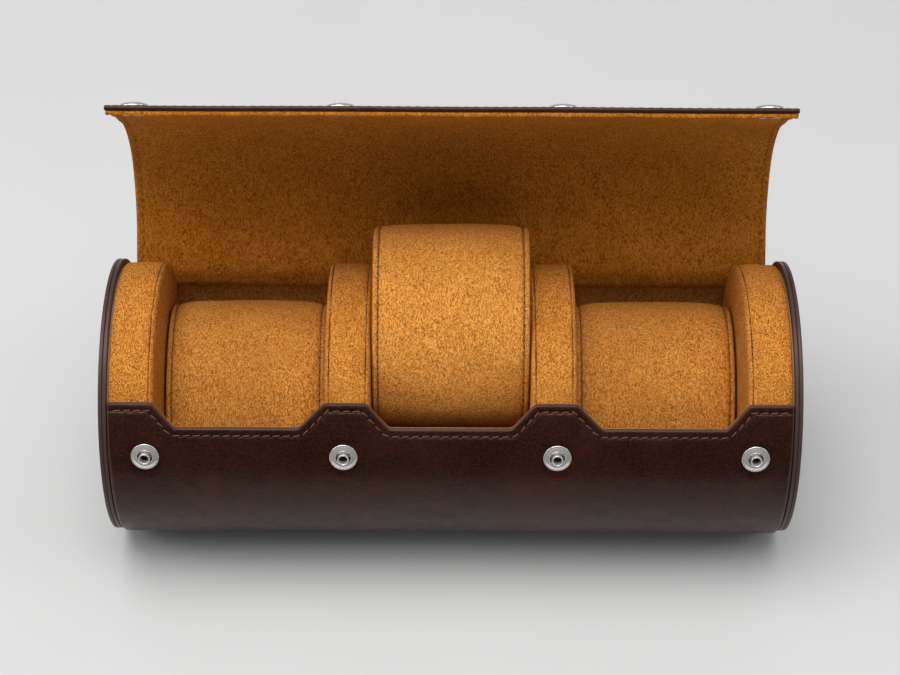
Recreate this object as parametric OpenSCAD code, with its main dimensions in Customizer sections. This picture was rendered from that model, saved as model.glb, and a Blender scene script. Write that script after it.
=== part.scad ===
// Roll-shaped travel case for wristwatches, open.
// X runs along the roll, +Y is the hinge side, +Z is up.
// The origin is the middle of the flat the roll stands on.

/* [Case] */
// Length over both end caps
case_len = 220; // [190:1:260]
// Outer radius of the leather wrap
wrap_r = 45.3; // [44:0.1:47]
// Radius of the end caps
cap_r = 44.5; // [43:0.1:46]
// Height of the roll axis over the standing flat
axis_h = 42.9; // [42:0.1:44]
// Thickness of the wrap leather
leather_t = 1.6; // [1.2:0.1:2]
// Thickness of the stiffening board
board_t = 1.4; // [1:0.1:2]

/* [Inside] */
// Inner face of each end pad, from the middle
pad_x = 93; // [90:0.5:96]
// Near face of each divider, from the middle
div_x0 = 25.2; // [24:0.1:27]
// Far face of each divider, from the middle
div_x1 = 39.7; // [38:0.1:42]
// Inner radius of the padded trough
trough_r = 37.5; // [37:0.1:38.5]
// Thickness of the suede covers
suede_t = 0.8; // [0.6:0.1:1.2]

/* [Front edge] */
// Angle of the tab tops over the horizontal
tab_a = 41; // [38:0.5:44]
// Angle of the notch floors over the horizontal
notch_a = 30.9; // [28:0.1:33]
// Angle of the snap row over the horizontal
snap_a = 19; // [16:0.5:22]
// Inner snap position from the middle
snap_x0 = 33.5; // [30:0.5:36]
// Outer snap position from the middle
snap_x1 = 95.6; // [90:0.1:96]

/* [Flap] */
// Half width of the flap at its hinge
flap_w0 = 106.4; // [104:0.1:106.8]
// Half width of the flap at its free edge
flap_w1 = 103.2; // [102:0.1:106]
// Thickness of the flap suede
flap_suede_t = 0.9; // [0.7:0.1:1.2]
// How far the flap root leans back from closed
root_bend = 62.5; // [0:0.5:62.5]
// Bend of the second crease
bend_2 = 1.5; // [0:0.5:1.5]
// Bend of the third crease
bend_3 = 9; // [0:0.5:9]
// Bend of the fourth crease
bend_4 = 18.5; // [0:0.5:18.5]
// Bend of the fifth crease
bend_5 = 19.5; // [0:0.5:19.5]

/* [Cushions] */
// Length of the middle cushion
mid_len = 49.8; // [48:0.1:49.8]
// Length of each side cushion
side_len = 51.8; // [48:0.1:52.4]
// How far the middle cushion stands over its seat
mid_rise = 34; // [0:0.5:34]
// Lean of the cushions from upright
lean = 40; // [30:1:45]

/* [Hidden] */
$fn = 96;
AX = axis_h;
half = case_len / 2;
r_in = wrap_r - leather_t;
r_bd = r_in - board_t;
cap_x = half - 2.6;
wrap_x = cap_x - 0.5;
board_x = wrap_x - 0.5;
flat_o = axis_h;
flat_i = flat_o - leather_t;
flat_b = flat_i - board_t;
up_r = 43.1;
div_r = 42.9;
mouth_a = 158;
lip_a = 172;
hinge_r = 44.3;
front_r = 47.8;
off_c = (front_r - hinge_r) / (cos(22) + cos(14));
hy = hinge_r * cos(180 - mouth_a);
hz = hinge_r * sin(180 - mouth_a);
fr = sqrt(pow(hy + off_c, 2) + hz * hz);
a_root = 180 - asin(hz / fr);
FA = [a_root, 118, 80, 52, 30, 9.7];
FB = [root_bend, bend_2, bend_3, bend_4, bend_5];
gap = 0.15;
seat_y = 3.65;
seat_z = -6.445;
side_xc = 66.5;
seam_in = 1.9;
pitch = 3.1;

// Angles go up from the front horizontal, over the top, to the back.
function pt(a, r) = [-r * cos(a), r * sin(a)];
function hinge(j) = [-off_c - fr * cos(FA[j]), fr * sin(FA[j])];
function half_w(a) = flap_w0 + (flap_w1 - flap_w0) * (a_root - a) / (a_root - FA[5]);

module bar(x0, x1) translate([x0, 0, AX]) rotate([90, 0, 90]) linear_extrude(x1 - x0) children();
module radial(a) translate([0, 0, AX]) rotate([90 - a, 0, 0]) children();
module flap_radial(a) translate([0, -off_c, 0]) radial(a) children();
module over(z) translate([-100, -z]) square([200, 200]);

module wedge2d(a0, a1, r) {
  n = ceil((a1 - a0) / 30);
  polygon(concat([[0, 0]], [for (i = [0:n]) pt(a0 + (a1 - a0) * i / n, r * 1.2)]));
}
module ring2d(r0, r1, a0, a1) intersection() {
  difference() { circle(r1); circle(r0); }
  wedge2d(a0, a1, r1);
}
module disc2d(r, z) intersection() { circle(r); over(z); }

// The standing flat runs through every layer of the wrap.
module layer2d(r0, r1, z0, z1, a0, a1) intersection() {
  difference() { disc2d(r1, z1); disc2d(r0, z0); }
  wedge2d(a0, a1, r1);
}

module snap_at() for (x = [-snap_x1, -snap_x0, snap_x0, snap_x1]) radial(snap_a) translate([x, 0, 0]) children();

module notch(x0, x1) {
  a_mid = (tab_a + notch_a) / 2;
  lo = -wrap_r * sin(a_mid - notch_a);
  radial(a_mid) translate([0, 0, 30]) linear_extrude(30)
    polygon([[x0, lo], [x1, lo], [x1 + 10.6, lo + 12], [x0 - 11.9, lo + 12]]);
}
module mid_notch() {
  a_mid = (tab_a + notch_a) / 2;
  lo = -wrap_r * sin(a_mid - notch_a);
  radial(a_mid) translate([0, 0, 30]) linear_extrude(30)
    polygon([[-19.2, lo], [19.2, lo], [30.0, lo + 12], [-30.0, lo + 12]]);
}

module outer_shell() color([0.16, 0.12, 0.11]) difference() {
  bar(-wrap_x, wrap_x) difference() {
    layer2d(r_in, wrap_r, flat_i, flat_o, mouth_a + 0.2, 360 + tab_a);
    translate([-off_c, 0]) rotate(90 - a_root) translate([0, fr])
      polygon([[-4, -0.2], [gap, -0.2], [gap, 0], [gap + 2.0 * tan(36.5), 2.0], [-4, 2.0]]);
  }
  notch(47.4, 86.4);
  mirror([1, 0, 0]) notch(47.4, 86.4);
  mid_notch();
  snap_at() translate([0, 0, 42]) cylinder(r = 1.1, h = 5);
  snap_at() translate([0, 0, 45.05]) cylinder(r = 4.4, h = 3);
}

module shell_board() color([0.55, 0.47, 0.36]) difference() {
  bar(-board_x, board_x) layer2d(r_bd, r_in, flat_b, flat_i, lip_a, 360 + 29.3);
  snap_at() translate([0, 0, 40]) cylinder(r = 3.05, h = 6);
}

module snap_studs() color([0.75, 0.74, 0.72]) snap_at() difference() {
  union() {
    translate([0, 0, 45.05]) cylinder(r = 4.4, h = 0.85);
    translate([0, 0, 45.9]) cylinder(r = 1.9, h = 2.0);
  }
  translate([0, 0, 46.5]) cylinder(r = 0.85, h = 3);
}

module stud_rivets() color([0.6, 0.6, 0.58]) snap_at() {
  translate([0, 0, 43.05]) cylinder(r = 3.0, h = 0.5);
  translate([0, 0, 43.55]) cylinder(r = 1.1, h = 1.5);
}

// One row of thread between two points of the front edge, x and angle.
module thread_run(x0, a0, x1, a1) {
  dt = (a1 - a0) * PI / 180 * wrap_r;
  len = sqrt(pow(x1 - x0, 2) + dt * dt);
  n = max(1, round(len / pitch));
  for (i = [0:n - 1]) {
    f = (i + 0.5) / n;
    radial(a0 + (a1 - a0) * f) translate([x0 + (x1 - x0) * f, 0, wrap_r + 0.12])
      rotate(atan2(dt, x1 - x0)) cube([2.1, 0.55, 0.25], center = true);
  }
}
module half_thread() {
  lo = notch_a - 2.9;
  hi = tab_a - 2.9;
  thread_run(0, lo, 20.2, lo);
  thread_run(20.2, lo, 27.2, hi);
  thread_run(27.2, hi, 38.6, hi);
  thread_run(38.6, hi, 46.4, lo);
  thread_run(46.4, lo, 87.4, lo);
  thread_run(87.4, lo, 94.2, hi);
  thread_run(94.2, hi, 105.2, hi);
}
module front_stitching() color([0.37, 0.2, 0.15]) {
  half_thread();
  mirror([1, 0, 0]) half_thread();
}

module end_cap() color([0.17, 0.13, 0.12]) bar(half - 1.25, half) disc2d(cap_r, flat_o);
module end_welt() color([0.2, 0.15, 0.13]) {
  bar(cap_x, half - 1.4) disc2d(cap_r, flat_o);
  bar(half - 1.4, half - 1.25) disc2d(cap_r - 0.6, flat_o - 0.6);
}
module end_board() color([0.55, 0.47, 0.36]) bar(cap_x - 2, cap_x) disc2d(r_bd, flat_b);

// What a pad or divider may fill: the wrap below, a fuller round over the mouth.
module space2d(r_up, g) {
  disc2d(r_bd - g, flat_b - g);
  intersection() { circle(r_up - g); wedge2d(30 + 1.5 * g, mouth_a - 0.5 - 1.5 * g, r_up); }
}
module round_disc(x0, x1, r, f0, f1) translate([x0, 0, AX]) rotate([0, 90, 0]) rotate_extrude() union() {
  square([r - max(f0, f1), x1 - x0]);
  translate([0, f0]) square([r, x1 - x0 - f0 - f1]);
  if (f0 > 0) intersection() { translate([r - f0, f0]) circle(f0); translate([0, 0]) square([r, x1 - x0]); }
  if (f1 > 0) intersection() { translate([r - f1, x1 - x0 - f1]) circle(f1); translate([0, 0]) square([r, x1 - x0]); }
}
module pad_core() intersection() {
  round_disc(pad_x + suede_t, cap_x - 2, up_r - suede_t, 3.2 - suede_t, 0);
  bar(pad_x, cap_x) space2d(up_r, suede_t);
}
module end_pad_core() color([0.9, 0.88, 0.8]) pad_core();
module end_pad_cover() color([0.75, 0.49, 0.24]) difference() {
  intersection() {
    round_disc(pad_x, cap_x - 2, up_r, 3.2, 0);
    bar(pad_x - 1, cap_x) space2d(up_r, 0);
  }
  pad_core();
}

module div_core() intersection() {
  round_disc(div_x0 + suede_t, div_x1 - suede_t, div_r - suede_t, 2.4 - suede_t, 2.4 - suede_t);
  bar(div_x0, div_x1) union() {
    space2d(div_r, suede_t);
    intersection() { disc2d(r_bd, flat_b); translate([-60, -80]) square([120, 48]); }
  }
}
module divider_core() color([0.9, 0.88, 0.8]) div_core();
module divider_cover() color([0.75, 0.49, 0.24]) difference() {
  intersection() {
    round_disc(div_x0, div_x1, div_r, 2.4, 2.4);
    bar(div_x0 - 1, div_x1 + 1) space2d(div_r, 0);
  }
  div_core();
  bar(div_x0 + suede_t, div_x1 - suede_t) translate([-60, -80]) square([120, 80 - 38]);
}

module padding(x0, x1) color([0.88, 0.86, 0.78]) bar(x0, x1) intersection() {
  difference() { disc2d(r_bd, flat_b); circle(trough_r + suede_t); }
  wedge2d(190, 350, r_bd);
}
module lining(x0, x1) color([0.72, 0.46, 0.22]) bar(x0, x1) {
  ring2d(trough_r, trough_r + suede_t, 189.9, 350.1);
  intersection() {
    union() {
      ring2d(trough_r, r_bd, 350, 351.2);
      ring2d(trough_r, r_bd, 188.8, 190);
      ring2d(r_bd - suede_t, r_bd, 351.1, 360 + 29.3);
      ring2d(r_bd - suede_t, r_bd, lip_a - 1, 188.9);
    }
    circle(r_bd);
  }
  ring2d(r_bd - suede_t, r_in, lip_a - 1.1, lip_a);
  ring2d(r_in - suede_t, r_in, mouth_a + 0.3, lip_a - 1);
}

// The flap is drawn closed and every crease is then bent open in turn.
module bend(j) translate([0, hinge(j)[0], AX + hinge(j)[1]]) rotate([-FB[j], 0, 0])
  translate([0, -hinge(j)[0], -AX - hinge(j)[1]]) children();
module posed(k, j = 0) {
  if (j > k) children();
  else bend(j) posed(k, j + 1) children();
}
module relief2d(j, b) translate([-off_c, 0]) rotate(90 - FA[j]) translate([0, fr])
  polygon([[-gap, -3], [gap, -3], [gap, 0], [gap + 2.2 * tan(b), 2.2], [-gap - 2.2 * tan(b), 2.2], [-gap, 0]]);
module flap_band(k, z0, z1) {
  am = (FA[k] + FA[k + 1]) / 2;
  t0 = (fr + z0 / 2 + z1 / 2) * sin((FA[k] - FA[k + 1]) / 2);
  w_hi = half_w(FA[k]);
  w_lo = half_w(FA[k + 1]);
  s = (w_hi - w_lo) / (2 * t0);
  intersection() {
    bar(-110, 110) difference() {
      translate([-off_c, 0]) ring2d(fr + z0, fr + z1, FA[k + 1], FA[k]);
      relief2d(k, k == 0 ? 36.5 : FB[k] / 2 + 1.5);
      if (k < 4) relief2d(k + 1, FB[k + 1] / 2 + 1.5);
    }
    flap_radial(am) translate([0, 0, 20]) linear_extrude(40) polygon([
      [-w_hi - 5 * s, t0 + 5], [w_hi + 5 * s, t0 + 5], [w_lo - 5 * s, -t0 - 5], [-w_lo + 5 * s, -t0 - 5]]);
  }
}
module snap_shank() snap_at() translate([0, 0, 40]) cylinder(r = 2.95, h = 15);
module snap_seats() {
  snap_shank();
  snap_at() translate([0, 0, 44]) cylinder(r = 4.2, h = 3.8);
  snap_at() translate([0, 0, 49.3]) cylinder(r = 4.35, h = 3);
}
module flap_leather(k) color([0.17, 0.13, 0.12]) posed(k) difference() {
  flap_band(k, 0, leather_t);
  if (k == 4) snap_seats();
}
module flap_lining(k) color([0.66, 0.4, 0.18]) posed(k) difference() {
  flap_band(k, -flap_suede_t, 0);
  if (k == 4) snap_seats();
}
module flap_stitch(k, a, x, r) flap_radial(a) translate([x, 0, fr - flap_suede_t - 0.11])
  rotate(r) cube([0.5, 2.1, 0.22], center = true);
module flap_stitches(k) color([0.5, 0.3, 0.16]) posed(k) {
  a1 = FA[k] - (k == 0 ? 4 : 1.6);
  a0 = FA[k + 1] + (k == 4 ? 3.8 : 1.6);
  n = round((a1 - a0) * PI / 180 * fr / pitch);
  for (i = [0:n - 1], m = [-1, 1]) {
    a = a0 + (a1 - a0) * (i + 0.5) / n;
    flap_stitch(k, a, m * (half_w(a) - 2.0), 0);
  }
  if (k == 4) for (i = [-32:32]) flap_stitch(k, FA[5] + 2.5, i * pitch, 90);
}

module snap_caps() color([0.75, 0.74, 0.72]) posed(4) snap_at() {
  translate([0, 0, 49.3]) difference() {
    intersection() { cylinder(r = 4.3, h = 1.3); translate([0, 0, -8.2]) sphere(r = 9.5); }
    translate([0, 0, -0.1]) cylinder(r = 2.6, h = 0.5);
  }
  translate([0, 0, 47.8]) difference() { cylinder(r = 2.95, h = 1.5); translate([0, 0, -1]) cylinder(r = 2.6, h = 4); }
}
module snap_sockets() color([0.7, 0.69, 0.66]) posed(4) snap_at() translate([0, 0, 46.35]) difference() {
  cylinder(r = 4.2, h = 1.45);
  translate([0, 0, -1]) cylinder(r = 2.6, h = 4);
}

// Four-arc oval; g insets every arc by the same amount.
module oval2d(g) {
  for (s = [-1, 1]) translate([12 * s, 0]) circle(21 - g);
  intersection() {
    translate([0, 16]) circle(41 - g);
    translate([0, -16]) circle(41 - g);
    translate([-(24.6 - 0.6 * g), -30]) square([2 * (24.6 - 0.6 * g), 60]);
  }
}
module seat(x0, x1, dz) translate([0, 0, dz]) bar(x0, x1) translate([seat_y, seat_z]) rotate(90 - lean) children();
module cushion_wrap(xc, len, dz) color([0.77, 0.5, 0.26])
  seat(xc - len / 2 + seam_in, xc + len / 2 - seam_in, dz) difference() { oval2d(0); oval2d(0.9); }
module cushion_core(xc, len, dz) color([0.9, 0.88, 0.8])
  seat(xc - len / 2 + seam_in, xc + len / 2 - seam_in, dz) oval2d(0.9);
module cushion_ends(xc, len, dz) color([0.74, 0.47, 0.24]) for (s = [0, 1])
  let (x = xc - len / 2 + s * (len - seam_in)) {
    seat(x + 0.95 * (1 - s), x + 0.95 + 0.95 * (1 - s), dz) oval2d(1.3);
    seat(x + 0.95 * s, x + 0.95 + 0.95 * s, dz) oval2d(3.2);
  }

outer_shell();
shell_board();
front_stitching();
snap_studs();
stud_rivets();
mirror([1, 0, 0]) end_cap();  // end_cap_left
end_cap();  // end_cap_right
mirror([1, 0, 0]) end_welt();  // end_welt_left
end_welt();  // end_welt_right
mirror([1, 0, 0]) end_board();  // end_board_left
end_board();  // end_board_right
mirror([1, 0, 0]) end_pad_cover();  // end_pad_cover_left
end_pad_cover();  // end_pad_cover_right
mirror([1, 0, 0]) end_pad_core();  // end_pad_core_left
end_pad_core();  // end_pad_core_right
mirror([1, 0, 0]) divider_cover();  // divider_cover_left
divider_cover();  // divider_cover_right
mirror([1, 0, 0]) divider_core();  // divider_core_left
divider_core();  // divider_core_right
padding(-pad_x, -div_x1);  // trough_padding_left
padding(-div_x0, div_x0);  // trough_padding_middle
padding(div_x1, pad_x);  // trough_padding_right
lining(-pad_x, -div_x1);  // trough_lining_left
lining(-div_x0, div_x0);  // trough_lining_middle
lining(div_x1, pad_x);  // trough_lining_right
flap_leather(0);  // flap_leather_1
flap_leather(1);  // flap_leather_2
flap_leather(2);  // flap_leather_3
flap_leather(3);  // flap_leather_4
flap_leather(4);  // flap_leather_5
flap_lining(0);  // flap_lining_1
flap_lining(1);  // flap_lining_2
flap_lining(2);  // flap_lining_3
flap_lining(3);  // flap_lining_4
flap_lining(4);  // flap_lining_5
flap_stitches(0);  // flap_stitches_1
flap_stitches(1);  // flap_stitches_2
flap_stitches(2);  // flap_stitches_3
flap_stitches(3);  // flap_stitches_4
flap_stitches(4);  // flap_stitches_5
snap_caps();
snap_sockets();
cushion_wrap(-side_xc, side_len, 0);  // cushion_wrap_left
cushion_wrap(0, mid_len, mid_rise);  // cushion_wrap_middle
cushion_wrap(side_xc, side_len, 0);  // cushion_wrap_right
cushion_core(-side_xc, side_len, 0);  // cushion_core_left
cushion_core(0, mid_len, mid_rise);  // cushion_core_middle
cushion_core(side_xc, side_len, 0);  // cushion_core_right
cushion_ends(-side_xc, side_len, 0);  // cushion_ends_left
cushion_ends(0, mid_len, mid_rise);  // cushion_ends_middle
cushion_ends(side_xc, side_len, 0);  // cushion_ends_right
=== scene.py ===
import math
import numpy as np
import bpy
import bmesh
from mathutils import Matrix, Vector
from mathutils.bvhtree import BVHTree


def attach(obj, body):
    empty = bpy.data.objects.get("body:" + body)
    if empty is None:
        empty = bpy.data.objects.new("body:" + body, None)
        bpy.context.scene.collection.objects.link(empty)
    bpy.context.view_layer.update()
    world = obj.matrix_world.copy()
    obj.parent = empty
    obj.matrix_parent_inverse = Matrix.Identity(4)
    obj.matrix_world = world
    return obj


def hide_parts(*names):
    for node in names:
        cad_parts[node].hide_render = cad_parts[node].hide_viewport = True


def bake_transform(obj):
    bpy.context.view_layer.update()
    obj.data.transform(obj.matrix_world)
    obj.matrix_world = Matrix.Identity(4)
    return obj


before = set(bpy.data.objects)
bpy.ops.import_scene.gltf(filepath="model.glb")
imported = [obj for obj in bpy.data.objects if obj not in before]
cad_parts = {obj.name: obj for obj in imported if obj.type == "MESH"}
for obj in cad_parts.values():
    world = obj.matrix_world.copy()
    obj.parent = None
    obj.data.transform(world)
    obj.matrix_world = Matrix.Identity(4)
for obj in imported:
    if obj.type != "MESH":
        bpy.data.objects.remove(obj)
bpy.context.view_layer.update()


# ---------------------------------------------------------------- sizes, mm
AX = 42.9
WR, RI, RB = 45.3, 43.7, 42.3
LT, ST = 1.6, 0.9
C_R, HALF = 44.5, 110.0
WX = 106.9
NOTCH_A, TAB_A, SNAP_A = 30.9, 41.0, 19.0
SNAPS = (-95.6, -33.5, 33.5, 95.6)
DIV = (25.2, 39.7)
PAD = 93.0
LEAN = 40.0
SEAT = (3.65, -6.445)
RISE = 34.0
SIDE_XC, SIDE_LEN, MID_LEN = 66.5, 51.8, 49.8
HINGE_R, FRONT_R = 44.3, 47.8
OFF = (FRONT_R - HINGE_R) / (math.cos(math.radians(22)) + math.cos(math.radians(14)))
_hy, _hz = HINGE_R * math.cos(math.radians(22)), HINGE_R * math.sin(math.radians(22))
FR = math.hypot(_hy + OFF, _hz)
A_ROOT = 180 - math.degrees(math.asin(_hz / FR))
FA = [A_ROOT, 118.0, 80.0, 52.0, 30.0, 9.7]
FB = [62.5, 1.5, 9.0, 18.5, 19.5]
W0, W1 = 106.4, 103.2

rad = math.radians


def pol(a, r):
    """Y, Z from the roll's axis; angles go up from the front horizontal."""
    a = np.radians(a)
    return -r * np.cos(a), r * np.sin(a)


def rot2(y, z, h, deg):
    r = np.radians(deg)
    dy, dz = y - h[0], z - h[1]
    return h[0] + dy * np.cos(r) - dz * np.sin(r), h[1] + dy * np.sin(r) + dz * np.cos(r)


HC = []
for _j in range(5):
    HC.append((-OFF - FR * math.cos(rad(FA[_j])), FR * math.sin(rad(FA[_j]))))


def flap_closed(a, rho):
    a = np.radians(a)
    return -OFF - (FR + rho) * np.cos(a), (FR + rho) * np.sin(a)


def opened(y, z, k):
    """Rest place of a point of the closed flap that rides on band k; k = -1 is the case."""
    for j in range(k, -1, -1):
        y, z = rot2(y, z, HC[j], -FB[j])
    return y, z


def half_w(a):
    return W0 + (W1 - W0) * (A_ROOT - a) / (A_ROOT - FA[5])


def smooth(t):
    t = np.clip(t, 0, 1)
    return t * t * (3 - 2 * t)


def wave(x, t, s=1.0):
    """Slow unevenness of hand-laid leather, in mm."""
    return s * (0.5 * np.sin(x / 23.0 + 1.3) * np.sin(t / 17.0 + 0.4) + 0.3 * np.sin(x / 9.7 + t / 13.0)
                + 0.2 * np.sin(x / 41.0 - t / 7.9 + 2.0))


# ---------------------------------------------------------------- materials
def sock(node, *names):
    for n in names:
        if n in node.inputs:
            return node.inputs[n]
    raise KeyError(names)


class Mat:
    def __init__(self, name):
        self.m = bpy.data.materials.new(name)
        self.m.use_nodes = True
        self.t = self.m.node_tree
        self.t.nodes.clear()
        self.out = self.t.nodes.new("ShaderNodeOutputMaterial")
        self.b = self.t.nodes.new("ShaderNodeBsdfPrincipled")
        self.t.links.new(self.b.outputs[0], self.out.inputs[0])

    def n(self, kind, **kw):
        node = self.t.nodes.new(kind)
        for k, v in kw.items():
            setattr(node, k, v)
        return node

    def link(self, a, b):
        self.t.links.new(a, b)

    def coords(self, attribute=True, scale=(1, 1, 1)):
        if attribute:
            c = self.n("ShaderNodeAttribute", attribute_name="rest_p").outputs["Vector"]
        else:
            o = self.n("ShaderNodeTexCoord").outputs["Object"]
            mp = self.n("ShaderNodeMapping")
            mp.inputs["Scale"].default_value = (100, 100, 100)
            self.link(o, mp.inputs["Vector"])
            c = mp.outputs[0]
        if scale != (1, 1, 1):
            mp = self.n("ShaderNodeMapping")
            mp.inputs["Scale"].default_value = scale
            self.link(c, mp.inputs["Vector"])
            c = mp.outputs[0]
        return c

    def noise(self, vec, scale, detail=2.0, rough=0.5, dist=0.0):
        n = self.n("ShaderNodeTexNoise")
        n.inputs["Scale"].default_value = scale
        n.inputs["Detail"].default_value = detail
        n.inputs["Roughness"].default_value = rough
        n.inputs["Distortion"].default_value = dist
        self.link(vec, n.inputs["Vector"])
        return n.outputs["Fac"]

    def ramp(self, fac, stops):
        r = self.n("ShaderNodeValToRGB")
        el = r.color_ramp.elements
        while len(el) < len(stops):
            el.new(0.5)
        for e, (p, c) in zip(el, stops):
            e.position = p
            e.color = (*c, 1) if len(c) == 3 else c
        self.link(fac, r.inputs[0])
        return r.outputs[0]

    def mix(self, fac, a, b, mode="MIX"):
        m = self.n("ShaderNodeMix", data_type="RGBA", blend_type=mode)
        if isinstance(fac, (int, float)):
            m.inputs[0].default_value = fac
        else:
            self.link(fac, m.inputs[0])
        for i, v in ((6, a), (7, b)):
            if isinstance(v, tuple):
                m.inputs[i].default_value = (*v, 1)
            else:
                self.link(v, m.inputs[i])
        return m.outputs[2]

    def math(self, op, a, b=0.0):
        m = self.n("ShaderNodeMath", operation=op)
        for i, v in ((0, a), (1, b)):
            if isinstance(v, (int, float)):
                m.inputs[i].default_value = v
            else:
                self.link(v, m.inputs[i])
        return m.outputs[0]

    def maprange(self, v, a0, a1, b0, b1):
        m = self.n("ShaderNodeMapRange")
        for i, x in ((1, a0), (2, a1), (3, b0), (4, b1)):
            m.inputs[i].default_value = x
        self.link(v, m.inputs[0])
        return m.outputs[0]

    def bump(self, height, strength, dist, normal=None):
        b = self.n("ShaderNodeBump")
        b.inputs["Strength"].default_value = strength
        b.inputs["Distance"].default_value = dist
        self.link(height, b.inputs["Height"])
        if normal is not None:
            self.link(normal, b.inputs["Normal"])
        return b.outputs[0]


def leather(name, dark, mid, warm, rough=0.4, attribute=True):
    m = Mat(name)
    c = m.coords(attribute)
    big = m.noise(c, 0.30, 4.0, 0.6, 0.8)
    med = m.noise(c, 1.9, 5.0, 0.62, 0.6)
    fine = m.noise(c, 12.0, 3.0, 0.6, 0.3)
    pore = m.noise(c, 34.0, 2.0, 0.5)
    col = m.ramp(big, [(0.32, dark), (0.5, mid), (0.70, warm)])
    col = m.mix(m.maprange(med, 0.36, 0.7, 0.0, 0.75), col, tuple(0.42 * v for v in dark))
    col = m.mix(m.maprange(fine, 0.42, 0.66, 0.0, 0.45), col, tuple(1.5 * v for v in warm))
    if attribute:
        # Edges go lighter grey: partly a burnished edge finish, partly a painted highlight on the rounded edge.
        edge = m.n("ShaderNodeAttribute", attribute_name="edge").outputs["Fac"]
        col = m.mix(edge, col, (0.075, 0.050, 0.048))
    m.link(col, m.b.inputs["Base Color"])
    vor = m.n("ShaderNodeTexVoronoi", feature="SMOOTH_F1")
    vor.inputs["Scale"].default_value = 15.0
    vor.inputs["Smoothness"].default_value = 0.5
    m.link(c, vor.inputs["Vector"])
    crease = m.noise(m.coords(attribute, (1, 0.4, 1)), 2.6, 4.0, 0.6, 0.8)
    n1 = m.bump(vor.outputs["Distance"], 0.22, 0.00022)
    n2 = m.bump(m.math("ADD", fine, m.math("MULTIPLY", pore, 0.5)), 0.16, 0.0002, n1)
    n3 = m.bump(crease, 0.16, 0.0007, n2)
    m.link(n3, m.b.inputs["Normal"])
    r = m.math("ADD", m.maprange(med, 0.3, 0.75, rough - 0.07, rough + 0.08), m.maprange(fine, 0.35, 0.7, -0.04, 0.06))
    m.link(r, m.b.inputs["Roughness"])
    m.b.inputs["Specular IOR Level"].default_value = 0.34
    m.b.inputs["Specular Tint"].default_value = (1.0, 0.70, 0.60, 1)
    return m.m


def suede(name, light, mid, dark, size=1.0, clump=0.0, attribute=True):
    """Napped suede: short crossing fibres that lie in swirls, rubbed lighter and darker in patches; the brightest
    fibres carry a painted highlight.
    """
    m = Mat(name)
    c = m.coords(attribute)

    def strokes(turn, scale, long):
        mp = m.n("ShaderNodeMapping")
        mp.inputs["Rotation"].default_value = (0.3 * turn, 0.2 * turn, turn)
        mp.inputs["Scale"].default_value = (1.0, 1.0 / long, 1.0)
        m.link(c, mp.inputs["Vector"])
        return m.noise(mp.outputs[0], scale / size, 2.0, 0.55, 1.2)

    def hairs(turn, scale, long):
        n = m.math("ABSOLUTE", m.math("SUBTRACT", strokes(turn, scale, long), 0.5))
        return m.maprange(n, 0.0, 0.075, 1.0, 0.0)

    nap = m.noise(c, 0.32, 3.0, 0.6, 1.0)
    patch = m.noise(c, 1.5, 4.0, 0.62, 1.0)
    tuft = m.noise(c, 6.0 / size, 4.0, 0.62, 2.4)
    h1 = hairs(0.6, 20.0, 3.0)
    h2 = hairs(-0.75, 22.0, 3.0)
    s1 = strokes(0.2, 28.0, 2.2)
    speck = m.noise(c, 46.0, 2.0, 0.55, 0.8)
    f = m.math("ADD", m.math("MULTIPLY", m.math("ADD", h1, h2), 0.085), m.math("MULTIPLY", s1, 0.55))
    f = m.math("ADD", f, m.math("MULTIPLY", speck, 0.30))
    if clump:
        f = m.math("ADD", m.math("MULTIPLY", f, 1.0 - clump), m.math("MULTIPLY", tuft, clump))
    # painted highlight: the top ramp stop paints a glint on the brightest fibres
    painted_fibre_glint = tuple(min(1.0, v) for v in (1.06 * light[0], 1.26 * light[1], 1.7 * light[2]))
    col = m.ramp(f, [(0.388, dark), (0.430, tuple(0.62 * v for v in mid)), (0.470, mid), (0.502, light), (0.548, painted_fibre_glint)])
    col = m.mix(m.maprange(nap, 0.38, 0.66, 0.0, 0.26), col, tuple(0.62 * v for v in mid))
    col = m.mix(m.maprange(patch, 0.42, 0.66, 0.0, 0.14), col, tuple(min(1.0, 1.12 * v) for v in light))
    col = m.mix(m.maprange(tuft, 0.56, 0.70, 0.0, 0.10 + 0.3 * clump), col, tuple(1.5 * v for v in dark))
    m.link(col, m.b.inputs["Base Color"])
    h = m.math("ADD", f, m.math("MULTIPLY", tuft, 0.35))
    n1 = m.bump(h, 0.9, 0.0010)
    n2 = m.bump(patch, 0.3, 0.0012, n1)
    m.link(n2, m.b.inputs["Normal"])
    m.b.inputs["Roughness"].default_value = 1.0
    m.b.inputs["Specular IOR Level"].default_value = 0.03
    m.b.inputs["Sheen Weight"].default_value = 0.06
    m.b.inputs["Sheen Roughness"].default_value = 0.5
    m.b.inputs["Sheen Tint"].default_value = (1.0, 0.62, 0.26, 1)
    return m.m


def nickel(name, rough=0.16, tint=(0.74, 0.72, 0.69), metal=1.0):
    m = Mat(name)
    c = m.coords(True)
    n = m.noise(c, 9.0, 4.0, 0.6, 0.5)
    f = m.noise(c, 60.0, 2.0, 0.5)
    m.link(m.mix(m.maprange(n, 0.3, 0.7, 0.0, 0.35), tint, tuple(0.7 * v for v in tint)), m.b.inputs["Base Color"])
    m.link(m.maprange(n, 0.3, 0.7, rough - 0.04, rough + 0.1), m.b.inputs["Roughness"])
    m.link(m.bump(f, 0.05, 0.0001), m.b.inputs["Normal"])
    m.b.inputs["Metallic"].default_value = metal
    return m.m


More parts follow.
